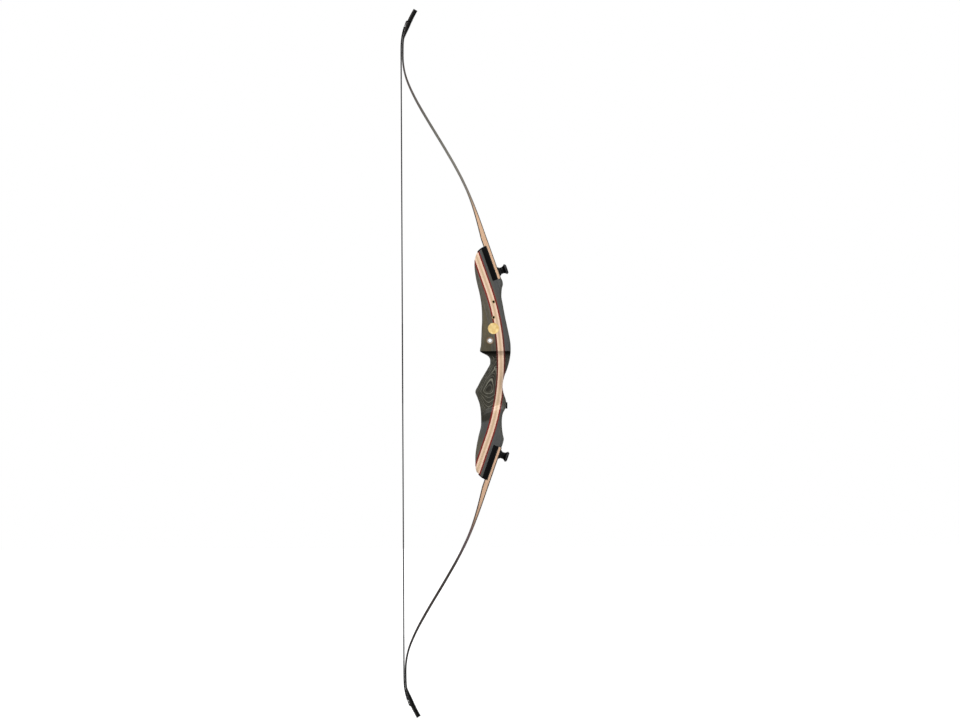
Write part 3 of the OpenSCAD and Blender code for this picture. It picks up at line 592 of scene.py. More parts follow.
# Stains along a limb: rows of the distance from its butt, the colour and how strongly it covers
UPPER_TONES = [
    (145, "6f6b62", 0), (178, "6f6b62", 0.7), (202, "716d68", 0.93), (261, "6e6d67", 0.93),
    (300, "666661", 0.93), (373, "585854", 0.93), (447, "484442", 0.93), (514, "2e2b2b", 0.93),
    (560, "161515", 0.93),
]
LOWER_TONES = [
    (118, "6b5546", 0), (151, "6b5546", 0.3), (169, "66554b", 0.7), (188, "5e4d4c", 0.93),
    (223, "504447", 0.93), (259, "322e2c", 0.93), (296, "1f1d1b", 0.93), (380, "232020", 0.93),
    (479, "191716", 0.93), (544, "131212", 0.93),
]
TIP_TONES = [(495, "141414", 0), (535, "141414", 0.85)]
BOARD = 620
PAD_SKIN = 1.6
FLANK_DEPTH = 0.5


def along_board(p, colour, tones, share=None):
    """Stains a board by rows as above, all over or by a share."""
    way = p.times(p.xyz()["Z"], 1 / BOARD)
    stained = p.ramp(way, [(s / BOARD, colour_there) for s, colour_there, _ in tones])
    strength = p.ramp(way, [(s / BOARD, most) for s, _, most in tones])
    return p.mix(p.times(strength, share) if share else strength, colour, stained)


def pale_wood(name, light, mid, line_colour, fine=1.0, tones=None, heart=None, skins=None):
    """Maple; tones are its stains along the board, skins the depths and the colour of its dark glue lines."""
    p = Paint(name)
    at = p.xyz()
    streak = p.noise((1.6 * fine, 0.6, 0.02), 5, 0.6)
    colour = p.stain(light, streak, [(0.3, 0), (0.75, 1)], mid)
    fibre = p.noise((7.0 * fine, 3.0, 0.09))
    colour = p.stain(colour, fibre, [(0.5, 0), (0.75, 0.45)], line_colour)
    colour = p.stain(colour, p.noise((2.2, 1.0, 0.5), 2), [(0.6, 0), (0.8, 0.3)], line_colour)
    if heart:
        off = p.plus(p.times(p.math("ABSOLUTE", at["X"]), 2 / STRIPE), p.times(streak, 0.3))
        colour = p.stain(colour, off, [(0.2, 0.85), (0.85, 0)], heart)
    if skins:
        back = p.math("GREATER_THAN", at["X"], -skins[0])
        belly = p.math("LESS_THAN", p.xyz("faces")["X"], skins[1])
        colour = p.mix(p.math("MAXIMUM", back, belly), colour, skins[2])
        facing_pad = p.math("LESS_THAN", at["X"], PAD_SKIN - BUTT_T)
        on_pad = p.times(facing_pad, p.math("LESS_THAN", at["Z"], WEDGE_AT))
        colour = p.mix(on_pad, colour, "1c1916")
    if tones:
        colour = along_board(p, colour, tones)
    p.bump(fibre, 0.08, 0.0003)
    return p.finish(colour, p.ramp(streak, [(0.3, 0.36), (0.75, 0.5)]), 0.25)


def red_veneer():
    """Dyed veneer, browner by the grip."""
    p = Paint("riser_red_veneer")
    streak = p.noise((1.8, 0.8, 0.03), 5, 0.6)
    colour = p.ramp(streak, [(0.25, "551510"), (0.5, "781f19"), (0.75, "8c2a20")])
    pore = p.noise((6.0, 4.0, 0.12), 2)
    colour = p.stain(colour, pore, [(0.55, 0), (0.72, 0.6)], "2e0f0b")
    height = p.between(p.xyz()["Z"], -120, 120)
    colour = p.stain(colour, height, [(0.05, 0), (0.25, 0.6), (0.68, 0.6), (0.95, 0)], "331a10")
    p.bump(pore, 0.08, 0.0003)
    return p.finish(colour, 0.42, 0.2)


def limb_glass(name, dark, light, tones):
    """Unidirectional glass fibre: fine threads along the limb under a satin face, and paler ground edges."""
    p = Paint(name)
    thread = p.noise((9.0, 9.0, 0.02), 2)
    base = p.stain(dark, thread, [(0.35, 0), (0.7, 1)], light)
    colour = p.mix(p.times(p.noise((0.08, 0.08, 0.01), 2), 0.3), base, dark)
    inside = p.minus(p.xyz("faces")["Z"], p.math("ABSOLUTE", p.xyz()["Y"]))
    colour = along_board(p, colour, TIP_TONES)
    colour = along_board(p, colour, tones, p.math("LESS_THAN", inside, FLANK_DEPTH))
    p.bump(thread, 0.06, 0.0002)
    return p.finish(colour, p.ramp(thread, [(0.3, 0.32), (0.7, 0.45)]), 0.2)


def black_laminate(name, colour, rough_low, rough_high, speck):
    """Pressed black laminate or moulding with a faint speckle and handling wear."""
    p = Paint(name)
    speckle = p.noise((900,) * 3, 3, 0.6, None)
    smear = p.noise((40,) * 3, attribute=None)
    colour = p.stain(colour, speckle, [(0.5, 0), (0.75, speck)], "4a4a48")
    p.bump(speckle, 0.08, 0.0002)
    return p.finish(colour, p.ramp(smear, [(0.3, rough_low), (0.7, rough_high)]), 0.05)


def turned_metal(name, dark, light, metallic, low, high, pit=None, rim=None, sheen_rows=()):
    """Turned metal: fine tool rings and small stains; pit is the colour of a painted shade below the riser's
    side face, where a hole is in shade.

    rim holds a height on the riser, the radius round it past which the colour turns, and that colour: a
    painted shade round the bushing's edge, which also darkens the face above the height.
    The rows of painted highlights hold a distance from the seats' mirror centre, how far the highlight
    reaches and its colour.
    """
    p = Paint(name)
    ring = p.noise((1400,) * 3, 2, attribute=None)
    marks = p.noise((120,) * 3, 3, 0.6, None)
    colour = p.stain(dark, marks, [(0.35, 0), (0.7, 1)], light)
    rough = p.ramp(marks, [(0.3, low), (0.75, high)])
    at = p.xyz(None)
    # Painted shade: near-black just below the riser's side face, where the hole is in shade
    if pit:
        depth = p.between(at["Y"], -HALF_W, -HALF_W + 2)
        colour = p.stain(colour, depth, [(0.1, 0), (0.5, 0.96)], pit)
    # Painted shade: past the radius the face turns brown, as the bushing's edge in shade, and higher up it
    # darkens further, as the top of a bore lit from above
    if rim:
        rise = p.minus(at["Z"], rim[0])
        square = p.plus(p.times(rise, rise), p.times(at["X"], at["X"]))
        colour = p.mix(p.math("GREATER_THAN", square, rim[1] ** 2), colour, rim[2])
        colour = p.stain(colour, p.times(rise, 0.25), [(0.3, 0), (0.8, 0.8)], rim[2])
    # Painted highlights: lighter bands at given distances along the knob's axis, where its rim and foot would
    # catch the light
    if sheen_rows:
        height = p.math("ABSOLUTE", p.plus(at["Z"], DROP))
        square = p.plus(p.times(at["X"], cos(LEAN)), p.times(height, sin(LEAN)))
        for place, reach, sheen_colour in sheen_rows:
            off = p.math("ABSOLUTE", p.minus(square, place))
            colour = p.stain(colour, p.times(off, 1 / reach), [(0.35, 1), (1.0, 0)], sheen_colour)
    p.bump(ring, 0.1, 0.0001)
    return p.finish(colour, rough, 0.12 if metallic else 0.06, metallic)


def thread_black(name, light, along):
    """Waxed thread: fibres that catch the light along their lay."""
    p = Paint(name)
    fibre = p.noise((2500, 2500, 2500 * along), 3, 0.6, None)
    wax = p.noise((150,) * 3, 2, attribute=None)
    colour = p.stain("060606", fibre, [(0.4, 0), (0.75, 1)], light)
    p.bump(fibre, 0.2, 0.0001)
    return p.finish(colour, p.ramp(wax, [(0.3, 0.5), (0.7, 0.75)]), 0.12)


KNOB_FOOT = LIMB_BACK + WASHER_T
# Painted highlights on the knob's rim and on the edge of its foot: lighter grey bands for the sheen of the
# black finish
KNOB_SHEEN = [(KNOB_FOOT + KNOB_H - RIM_DOWN, 1.6, "38383b"), (KNOB_FOOT + 1.2, 1.0, "2c2c2e")]
PAINTS = {
    "riser_block_wood": dark_laminate(),
    "riser_veneer": red_veneer(),
    "riser_pale_wood": pale_wood("riser_maple", "f8d8c0", "dfbda1", "a58767", heart="c0a480"),
    "upper_limb_wood": pale_wood("upper_limb_maple", "dbb89a", "c9a17f", "97724e", 1.6, UPPER_TONES,
                                 skins=(1.6, 1.9, "4a4038")),
    "lower_limb_wood": pale_wood("lower_limb_maple", "dbb89c", "c59e7e", "8f6843", 1.6, LOWER_TONES,
                                 skins=(2.0, 2.1, "33281f")),
    "upper_limb_glass": limb_glass("upper_limb_fibre", "2c2b27", "46443d", UPPER_TONES),
    "lower_limb_glass": limb_glass("lower_limb_fibre", "1f1b19", "38312d", LOWER_TONES),
    "pad_black": black_laminate("pad_black_laminate", "040405", 0.5, 0.65, 0.04),
    "overlay_black": black_laminate("overlay_black_laminate", "080808", 0.4, 0.55, 0.1),
    "knob_black": turned_metal("knob_black_anodised", "030304", "09090a", 0.0, 0.26, 0.38, sheen_rows=KNOB_SHEEN),
    "bushing_black": turned_metal("bushing_black_oxide", "080808", "141414", 0.0, 0.38, 0.5),
    "insert_brass": turned_metal("insert_turned_brass", "b89c74", "d8c09a", 0.55, 0.3, 0.45),
    # The sight cups: brass, with a painted shade inside their holes
    "sight_brass": turned_metal("sight_cup_brass", "a58a66", "c8ae86", 0.3, 0.35, 0.5, "0c0b0a"),
    "fitting_steel": turned_metal("fitting_turned_steel", "8c8c90", "b4b4b8", 1.0, 0.25, 0.4),
    # The plunger's face: steel with a painted shade round its edge, darker at the top
    "plunger_steel": turned_metal("plunger_bright_steel", "9c9589", "cdc6b8", 0.35, 0.3, 0.45,
                                  rim=(PLUNGER_Z, PLUNGER_D / 2 - 1.6, "775f47")),
    "medallion_gold": turned_metal("medallion_gilt", "d0ae6a", "ecd49a", 0.5, 0.32, 0.45),
    "serving_thread": thread_black("serving_black_thread", "161617", 1.0),
    "string_strands": thread_black("strand_black_fibre", "18181a", 0.05),
}
PAINTS["limb_wood"] = PAINTS["upper_limb_wood"]
for row in frame["record"]["subparts"]:
    materials = frame["nodes"][row["node"]].data.materials
    materials.clear()
    materials.append(PAINTS[row["material_slot"]])


def dress(obj, slot, body, *nodes, angle=35, rule=None, paint=None):
    """Shading, material, slot, replaced nodes and body of a finished piece."""
    shade(obj, angle)
    if rule:
        grain(obj, rule)
    obj.data.materials.clear()
    obj.data.materials.append(PAINTS[paint or slot])
    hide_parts(*nodes)
    if body:
        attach(obj, body)


# Frames of reference

def half(side, p):
    """From the mirrored frame of one half to the bow."""
    z = p[2] if side == "upper" else -p[2]
    return (p[0], p[1], z - DROP)


def seat(side, n, t, y=0.0):
    """Point at a distance square to a seat and a distance along it."""
    return half(side, (n * cos(LEAN) - t * sin(LEAN), y, n * sin(LEAN) + t * cos(LEAN)))


def seat_outline(side, rows):
    return [(p[0], p[2]) for p in (seat(side, n, t) for n, t in rows)]


def seat_rod(name, side, n0, n1, t, r):
    """Cylinder square to a seat, between two distances from it."""
    return rod("cutter_" + name, seat(side, n0, t), seat(side, n1, t), r)


def on_stabiliser(p):
    """Frame on the stabiliser's seat: the third axis points away from the bow."""
    return (STABILISER[0] + p[2], p[0], STABILISER[1] + p[1])


def facing_side(x, z, depth=0.0):
    """Frame on the near side face: the third axis points out of it."""
    return lambda p: (x + p[0], -HALF_W + depth - p[2], z + p[1])


def metres(p):
    return tuple(v * MM for v in p)


LIP_OFF = SEAT_OFF - LIP_LEN


def lip_end(n):
    """How far along the seat the pad's bulging end reaches, at a distance square to the seat."""
    u = clamp((TURN_OFF - n) / (TURN_OFF - LIP_OFF), 0, 1)
    return PAD_END + min(0, (n - TURN_OFF) * tan(radians(END_SLOPE))) + 4 * LIP_BULGE * u * (1 - u)


LIP_INNER = [(n, lip_end(n) - LIP_T) for n in (LIP_OFF + LIP_LEN * i / 10 for i in range(11))]
LIP_OUTER = [(n, lip_end(n)) for n in (TURN_OFF + (LIP_OFF - TURN_OFF) * i / 14 for i in range(15))]


# Riser

LEVEL_END = 256.0
WIDE_STEP = 2.0
SHELF_CLEAR = 0.2
CLOSE_STEPS = [(SHELF_Z - 4, SHELF_Z + 4, 0.6), (-4, 40, 1.2), (155, 167, 1.2)]


def riser_levels():
    """Heights of the riser's sections, and whether they are above the shelf, which has one of either kind."""
    levels = [(SHELF_Z, False), (SHELF_Z, True)]
    z = -LEVEL_END
    while z <= LEVEL_END:
        if abs(z - SHELF_Z) > SHELF_CLEAR:
            levels.append((z, z > SHELF_Z))
        z = round(z + next((step for lo, hi, step in CLOSE_STEPS if lo < z < hi), WIDE_STEP), 4)
    return sorted(levels)


def riser_ply(name, lo_offset, hi_offset, steps, from_z, to_z):
    """One lamination: the riser between two bent faces and two heights."""
    rings = []
    for z, above in riser_levels():
        lo = max(bent_x(z, lo_offset), smooth_at(BELLY_LINE, z))
        hi = min(bent_x(z, hi_offset), smooth_at(BACK_LINE, z))
        if from_z <= z <= to_z and hi - lo >= FEATHER:
            xs = [lo + (hi - lo) * (0.5 - 0.5 * cos(pi * i / steps)) for i in range(steps + 1)]
            rings.append([(x, -half_width_at(x, z), z) for x in xs]
                         + [(x, far_side(x, z, above), z) for x in reversed(xs)])
    return loft(name, rings)


def seat_cutter(side):
    """All that lies past a seat, its shoulder and the pad's inner face."""
    near, far = SEAT_OFF + FAR, SEAT_OFF - FAR
    return prism("cutter_seat_" + side, seat_outline(side, [
        (SEAT_OFF, SHOULDER), (near, SHOULDER), (near, PAD_END + FAR), (far, PAD_END + FAR),
        (far, lip_end(far) - LIP_T)] + LIP_INNER), -FAR, FAR)


def side_hole(name, x, z, depth, r, steps=48):
    """Cylinder for a hole of a depth in the near side face."""
    return rod("cutter_" + name, (x, -RISER_W, z), (x, -HALF_W + depth, z), r, steps)


cut_seat = [seat_cutter(side) for side in SIDES]
cut_bolt = [seat_rod("insert", side, SEAT_OFF - INSERT_LEN, SEAT_OFF + 1, BOLT_ALONG, INSERT_D / 2)
            for side in SIDES]
recess = FLANGE_D / 2 + 0.5
cut_stabiliser = lathe("cutter_stabiliser", [
    (0, -BUSHING_LEN), (BUSHING_D / 2, -BUSHING_LEN), (BUSHING_D / 2, 0), (recess, 0), (recess, 20), (0, 20)],
    on_stabiliser, 64)
cut_plunger = side_hole("plunger", 0, PLUNGER_Z, RISER_W + HALF_W, PLUNGER_D / 2, 64)
cut_sight = [side_hole("sight", SIGHT_X, SIGHT_Z + i * SIGHT_GAP, SIGHT_LEN, SIGHT_D / 2) for i in (0, 1)]
cut_medallion = side_hole("medallion", *MEDALLION, MEDALLION_T - PROUD, MEDALLION_D / 2, 96)

BLOCK = STRIPE / 2 + VENEER
INNER = STRIPE / 2
TALL = FAR * 3
through = cut_seat + cut_bolt
upper_end = [cut_seat[0], cut_bolt[0]]
lower_end = [cut_seat[1], cut_bolt[1], cut_stabiliser]
# Node, slot, the offsets of its faces from the stripe's middle, steps from belly to back, heights and cutters
RISER_PLIES = [
    ("riser_belly_block", "riser_block_wood", -FAR, -BLOCK, 30, -TALL, TALL,
     cut_seat + [cut_plunger, cut_medallion]),
    ("riser_belly_veneer", "riser_veneer", -BLOCK, -INNER, 6, -TALL, TALL,
     through + [cut_sight[0], cut_medallion]),
    ("riser_core", "riser_pale_wood", -INNER, INNER, 12, -TALL, TALL, through + cut_sight + [cut_medallion]),
    ("riser_back_veneer_upper", "riser_veneer", INNER, BLOCK, 6, PARTING_Z, TALL,
     upper_end + [cut_sight[1], cut_medallion]),
    ("riser_back_veneer_lower", "riser_veneer", INNER, BLOCK, 6, -TALL, PARTING_Z, lower_end),
    ("riser_back_block_upper", "riser_block_wood", BLOCK, FAR, 26, PARTING_Z, TALL, upper_end),
    ("riser_back_block_lower", "riser_block_wood", BLOCK, FAR, 26, -TALL, PARTING_Z, lower_end),
]
for node, slot, lo, hi, steps, from_z, to_z, cuts in RISER_PLIES:
    ply = carve(riser_ply(node + "_fine", lo, hi, steps, from_z, to_z), cuts)
    lengths = [name for name in frame["nodes"] if name.startswith(node)]
    dress(ply, slot, "riser", *lengths, angle=32, rule=riser_grain)
drop(through + [cut_stabiliser, cut_plunger, cut_medallion] + cut_sight)


# Limbs: the length and the lean at the end of each arc of the back face
ARCS = [(125.7, 19.3), (48, 21.6), (100, 29.9), (75, 31.4), (64, 29.6), (50, 22.6), (61, 0), (20, -1.2),
        (61, -26.5), (22, -29.4)]
CONTACT_ARC = 7


def along_arc(p, length, end_lean, s):
    """Place and lean at a distance along an arc that starts from such a place and lean."""
    x, z, start_lean = p
    bend = end_lean - start_lean
    a = radians(start_lean)
    if abs(bend) < 0.001:
        return (x - s * sin(a), z + s * cos(a), start_lean)
    lean = start_lean + bend * s / length
    r, b = length / radians(bend), radians(lean)
    return (x - r * (cos(a) - cos(b)), z + r * (sin(b) - sin(a)), lean)


ARC_STARTS = [(LIMB_BACK * cos(LEAN) - (SHOULDER + BUTT_GAP) * sin(LEAN),
               LIMB_BACK * sin(LEAN) + (SHOULDER + BUTT_GAP) * cos(LEAN), SEAT_LEAN)]
ARC_AT = [0.0]
for arc_len, arc_lean in ARCS:
    ARC_STARTS.append(along_arc(ARC_STARTS[-1], arc_len, arc_lean, arc_len))
    ARC_AT.append(ARC_AT[-1] + arc_len)
LIMB_LEN = ARC_AT[-1]
WEDGE_TO = 190.3
WEDGE_EDGE = 0.03
FADE_AT = WEDGE_AT + 18
FADE_LEN = 113.0
FADE_POWER = 1.6
THIN_FROM = ARC_AT[5] - 17
THIN_TO = ARC_AT[CONTACT_ARC]
OVERLAY_FROM = 561.1
OVERLAY_RISE = 34
WIDTHS = [(170, LIMB_W), (480, RECURVE_W), (NOCK_AT, NOCK_W), (LIMB_LEN, TIP_W)]
PLY_STEP = 3.5
BLEND_HALF = 80.0
BLEND_DEPTH = 3
EDGE = 0.35
LOOP_GAP = 0.15
LOOP_BACK = NOCK_R - OVERLAY_T - LOOP_R - LOOP_GAP
LOOP_SLANT = 0.6
# How far cutters reach past the faces that they cut
CLEAR = 5


def limb_at(s):
    """Place and lean of the back face at a distance along it."""
    i = 0
    while i < len(ARCS) - 1 and s >= ARC_AT[i + 1]:
        i += 1
    return along_arc(ARC_STARTS[i], *ARCS[i], s - ARC_AT[i])


def fade(s):
    """Share that is left of the butt's extra thickness."""
    return clamp(1 - (s - FADE_AT) / FADE_LEN, 0, 1) ** FADE_POWER


def core_at(s):
    mid, tip = MID_T - 2 * GLASS, TIP_T - 2 * GLASS
    return (mid + (BUTT_T - GLASS - mid) * fade(s)
            + (tip - mid) * clamp((s - THIN_FROM) / (THIN_TO - THIN_FROM), 0, 1))


def core_depth(s):
    return GLASS + core_at(s)


def wedge_depth(s):
    return WEDGE_T * fade(s)


def belly_depth(s):
    """Depth of the belly face under the back face."""
    return 2 * GLASS + core_at(s) + wedge_depth(s)


def overlay_depth(s):
    return OVERLAY_T * sin(radians(90 * clamp((s - OVERLAY_FROM) / OVERLAY_RISE, 0.02, 1)))


def half_limb_w(s):
    """Half the limb's width, which tapers evenly from row to row."""
    if s < WIDTHS[0][0]:
        return LIMB_W / 2
    for (a, wide), (b, narrow) in zip(WIDTHS, WIDTHS[1:]):
        if s < b:
            break
    return (wide + (narrow - wide) * (s - a) / (b - a)) / 2


def limb_point(side, s, depth, y):
    """Point at a distance along the limb's back face, a depth under it and a place across."""
    x, z, lean = limb_at(s)
    a = radians(lean)
    return half(side, (x - depth * cos(a), y, z - depth * sin(a)))


def stops(lo, hi, step):
    """Evenly spaced places from one to another, about a step apart."""
    n = max(2, int(ceil((hi - lo) / step)))
    return [lo + (hi - lo) * i / n for i in range(n + 1)]


def ply_ring(side, s, top, bottom, round_top, round_bottom):
    """Section of a lamination, with its outer corners rounded."""
    w = half_limb_w(s)
    ring = []

    def corner(flank, depth, inwards, r, start, end):
        if r <= 0:
            ring.append(limb_point(side, s, depth, flank * w))
            return
        for k in range(4):
            a = radians(start + (end - start) * k / 3)
            y = flank * (w - r * (1 - cos(a)))
            ring.append(limb_point(side, s, depth + inwards * r * (1 - sin(a)), y))

    corner(-1, top, 1, round_top, 0, 90)
    corner(1, top, 1, round_top, 90, 0)
    corner(1, bottom, -1, round_bottom, 0, 90)
    corner(-1, bottom, -1, round_bottom, 90, 0)
    return ring


def limb_grain_rule(side):
    """Depth, place across and length in the board, from a point's place along the limb."""
    sign = 1 if side == "upper" else -1
    table = [(s, *limb_at(s)) for s in stops(0, LIMB_LEN, 4)]

    def rule(p):
        z = sign * (p[2] + DROP)
        s, x0, z0, lean = min(table, key=lambda row: abs(row[2] - z) + 0.2 * abs(row[1] - p[0]))
        a = radians(lean)
        dx, dz = p[0] - x0, z - z0
        return (dx * cos(a) + dz * sin(a), p[1], s - dx * sin(a) + dz * cos(a))
    return rule


def flank_s(depth):
    """How far along the limb its loop lies on the tip's flank, at a depth."""
    return NOCK_AT - LOOP_SLANT * (depth - LOOP_BACK)


def lying_at(side, s):
    """Middle of the string where it lies on the recurve."""
    return limb_point(side, s, belly_depth(s) + STRING_GAP + SERVING_R, 0)


def build_limb(side):
    """One limb: glass, wood, wedge, glass and the tip's overlay, drilled and nocked together."""
    rule = limb_grain_rule(side)
    glass, w = side + "_limb_glass", half_limb_w(NOCK_AT)
    nocks = [rod("cutter_nock", limb_point(side, NOCK_AT, -OVERLAY_T, -20),
                 limb_point(side, NOCK_AT, -OVERLAY_T, 20), NOCK_R)]
    for flank in (-1, 1):
        ends = [limb_point(side, flank_s(depth), depth, flank * w) for depth in (-14, 12)]
        nocks.append(rod("cutter_flank", *ends, NOCK_R))
    hole = seat_rod("bolt", side, LIMB_BELLY - CLEAR, LIMB_BACK + CLEAR, BOLT_ALONG, BOLT_HOLE_R)
    pin = seat_rod("pin", side, LIMB_BELLY - CLEAR, LIMB_BELLY + PIN_DEPTH, PIN_ALONG, PIN_R)
    start = metres(limb_point(side, FLEX_AT - BLEND_HALF, BLEND_DEPTH, 0))
    end = metres(limb_point(side, FLEX_AT + BLEND_HALF, BLEND_DEPTH, 0))

    def ply(name, slot, lo, hi, top, bottom, rt, rb, cutters, nodes, flexes=True):
        rings = [ply_ring(side, s, top(s), bottom(s), rt, rb) for s in stops(lo, hi, PLY_STEP)]
        obj = loft(side + name, rings)
        if cutters:
            carve(obj, cutters)
        paint = side + "_limb_wood" if slot == "limb_wood" else None
        dress(obj, slot, None, *[side + n for n in nodes], rule=rule, paint=paint)
        limb_faces(obj)
        if flexes:
            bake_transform(obj)
        else:
            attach(obj, side + "_limb")

    ply("_limb_back_face", glass, 0, LIMB_LEN, lambda s: 0, lambda s: GLASS, EDGE, 0, [hole] + nocks,
        ("_limb_butt_back_glass", "_limb_back_glass"))
    ply("_limb_wood", "limb_wood", 0, LIMB_LEN, lambda s: GLASS, core_depth, 0, 0, [hole, pin] + nocks,
        ("_limb_butt_core", "_limb_core"))
    ply("_limb_belly_wedge", "limb_wood", WEDGE_AT, WEDGE_TO, core_depth,
        lambda s: core_depth(s) + max(wedge_depth(s), WEDGE_EDGE), 0, 0, [], ("_limb_wedge",))
    ply("_limb_belly_face", glass, WEDGE_AT, LIMB_LEN, lambda s: belly_depth(s) - GLASS, belly_depth, 0, EDGE,
        nocks, ("_limb_butt_belly_glass", "_limb_belly_glass"))
    ply("_tip_plate", "overlay_black", OVERLAY_FROM, LIMB_LEN, lambda s: -overlay_depth(s), lambda s: 0,
        1.0, 0, nocks, ("_tip_overlay",), False)
    drop(nocks + [hole, pin])


for side in SIDES:
    build_limb(side)


# Seats, bolts and fittings

def bevelled(obj, width):
    """The same solid with its edges rounded off."""
    def bevel(bm):
        edges = [e for e in bm.edges if e.calc_face_angle(0) > radians(12)]
        bmesh.ops.bevel(bm, geom=edges, offset=width * MM, segments=2, affect="EDGES", profile=0.5)

    rework(obj.data, bevel)
    return obj


INCH = 25.4
BOLT_PITCH = INCH / 18
BOLT_THREAD = 0.55
STUD_SUNK = 4
BUSHING_PITCH = INCH / 24
BUSHING_THREAD = 0.4
BUSHING_WALL = 0.95
STEPS_PER_TURN = 8


def thread_tube(name, place, r, length, pitch, depth, steps, wall=0.0):
    """Threaded rod, or with a wall a threaded sleeve, along the third axis of place."""
    count = int(length / pitch * STEPS_PER_TURN)
    rings = []
    for h in (length * k / count for k in range(count + 1)):
        end = min(1.0, h / pitch, (length - h) / pitch)
        ring = []
        for i, (c, s) in enumerate(circle(steps)):
            groove = depth * (1 - abs(2 * ((h / pitch - i / steps) % 1.0) - 1))
            rr = r + groove * end if wall else min(r - groove, r - depth * (1 - end))
            ring.append(place((rr * c, rr * s, h)))
        rings.append(ring)
    if not wall:
        return loft(name, rings)
    last = len(rings) - 1
    rings += [[place(((r + wall) * c, (r + wall) * s, h)) for c, s in circle(steps)] for h in (0.0, length)]
    pairs = [(k, k + 1) for k in range(last)] + [(last + 1, last + 2), (0, last + 1), (last, last + 2)]
    return new_mesh(name, [p for ring in rings for p in ring], skin(steps, pairs))


def washer_profile():
    hole, edge = STUD_D / 2 + 0.3, WASHER_D / 2
    return [(hole, 0.2), (hole + 0.2, 0), (edge - 0.3, 0), (edge, 0.3), (edge, WASHER_T - 0.5),
            (edge - 0.15, WASHER_T - 0.15), (edge - 0.5, WASHER_T), (hole + 0.2, WASHER_T),
            (hole, WASHER_T - 0.2)]


def knob_profile():
    """Outline of a spool knob: foot, neck, flare, round rim and dished top."""
    rim, neck, bore = KNOB_D / 2, NECK_D / 2, STUD_D / 2
    rim_r, foot, dish = 2.2, 2.5, 2.0
    waist, middle = KNOB_H * 0.47 - 1.6, KNOB_H - RIM_DOWN
    profile = [(bore, 0.2), (bore + 0.2, 0), (neck + 1.0, 0), (neck + 1.2, 0.2), (neck + 1.2, foot - 1.3),
               (neck + 0.9, foot - 0.85), (neck + 0.3, foot - 0.25), (neck, foot + 0.3), (neck, waist)]
    flare = (rim - rim_r + rim_r * 0.5 - neck, middle - rim_r * 0.866 - waist)
    for t in (k / 8 for k in range(1, 8)):
        profile.append((neck + flare[0] * t * t, waist + flare[1] * (t * 0.85 + t * t * 0.15)))
    for a in (radians(-60 + 125 * k / 14) for k in range(15)):
        profile.append((rim - rim_r + rim_r * cos(a), middle + rim_r * sin(a)))
    end, low = neck + 2, KNOB_H - dish
    return profile + [
        (end + 0.25, KNOB_H - 0.35), (end, KNOB_H - 0.1), (end - 0.4, KNOB_H), (end - 1.0, KNOB_H),
        (end - 1.3, KNOB_H - 0.2), (bore + 1.6, low + 0.3), (bore + 1.1, low), (bore + 0.3, low),
        (bore, low - 0.3)]


def build_seat(side):
    """One limb pad, and the washer, knob and stud of its bolt."""
    rows = [(SEAT_OFF, SHOULDER), (LIMB_BELLY, SHOULDER), (LIMB_BELLY, PAD_END)] + LIP_OUTER + LIP_INNER
    pad = bevelled(prism(side + "_pad", seat_outline(side, rows), -HALF_W, HALF_W), 0.5)
    holes = [seat_rod(name, side, SEAT_OFF - CLEAR, LIMB_BELLY + CLEAR, at, r)
             for name, at, r in (("bolt", BOLT_ALONG, BOLT_HOLE_R), ("pin", PIN_ALONG, PIN_R))]
    carve(pad, holes)
    drop(holes)
    dress(pad, "pad_black", "riser", side + "_limb_pad")

    def on_bolt(base):
        """Frame on the bolt's line: the third axis points off the seat."""
        flip = 1 if side == "upper" else -1
        return lambda p: seat(side, base + p[2], BOLT_ALONG + flip * p[0], -p[1])

    washer = lathe(side + "_washer", washer_profile(), on_bolt(LIMB_BACK))
    dress(washer, "knob_black", side + "_bolt_lift", side + "_bolt_washer")
    knob = lathe(side + "_knob", knob_profile(), on_bolt(KNOB_FOOT))
    dress(knob, "knob_black", side + "_bolt", side + "_bolt_knob", angle=40)
    stud = thread_tube(side + "_stud", on_bolt(SEAT_OFF - STUD_REACH), STUD_D / 2,
                       STUD_REACH + PAD_T + BUTT_T + WASHER_T + KNOB_H - STUD_SUNK,
                       BOLT_PITCH, BOLT_THREAD, 28)
    dress(stud, "fitting_steel", side + "_bolt", side + "_bolt_stud", angle=60)


for side in SIDES:
    build_seat(side)

# The plunger's bushing: a chamfered, slightly dished sleeve and the thread in it
bore, edge, depth, lip = BORE_D / 2, PLUNGER_D / 2, HALF_W - CUT_PAST, 1.4
sleeve = lathe("plunger_sleeve", [
    (bore + 0.5, -depth), (edge - 0.3, -depth), (edge, -depth + 0.3), (edge, -0.25), (edge - 0.25, 0),
    (edge - lip, 0), (edge - lip - 0.25, -0.2), (bore + 1.2, -0.2), (bore + 0.5, -0.9)],
    facing_side(0, PLUNGER_Z), 64)
dress(sleeve, "fitting_steel", "riser", "plunger_bushing", paint="plunger_steel")
thread = thread_tube("plunger_sleeve_thread", facing_side(0, PLUNGER_Z, depth - 0.1), bore - 0.4, depth - 1.0,
                     BUSHING_PITCH, BUSHING_THREAD, 32, BUSHING_WALL)
dress(thread, "fitting_steel", "riser", "plunger_bushing", angle=60)

edge, cup_bore, floor_at = SIGHT_D / 2, SIGHT_BORE / 2, 1 - SIGHT_LEN
for i in (0, 1):
    cup = lathe("sight_cup_%d" % (i + 1), [
        (0, -SIGHT_LEN), (edge, -SIGHT_LEN), (edge, -0.2), (edge - 0.2, 0), (cup_bore + 0.5, 0),
        (cup_bore, -0.5), (cup_bore, floor_at), (0, floor_at)],
        facing_side(SIGHT_X, SIGHT_Z + i * SIGHT_GAP), 48)
    dress(cup, "insert_brass", "riser", "sight_inserts", paint="sight_brass")

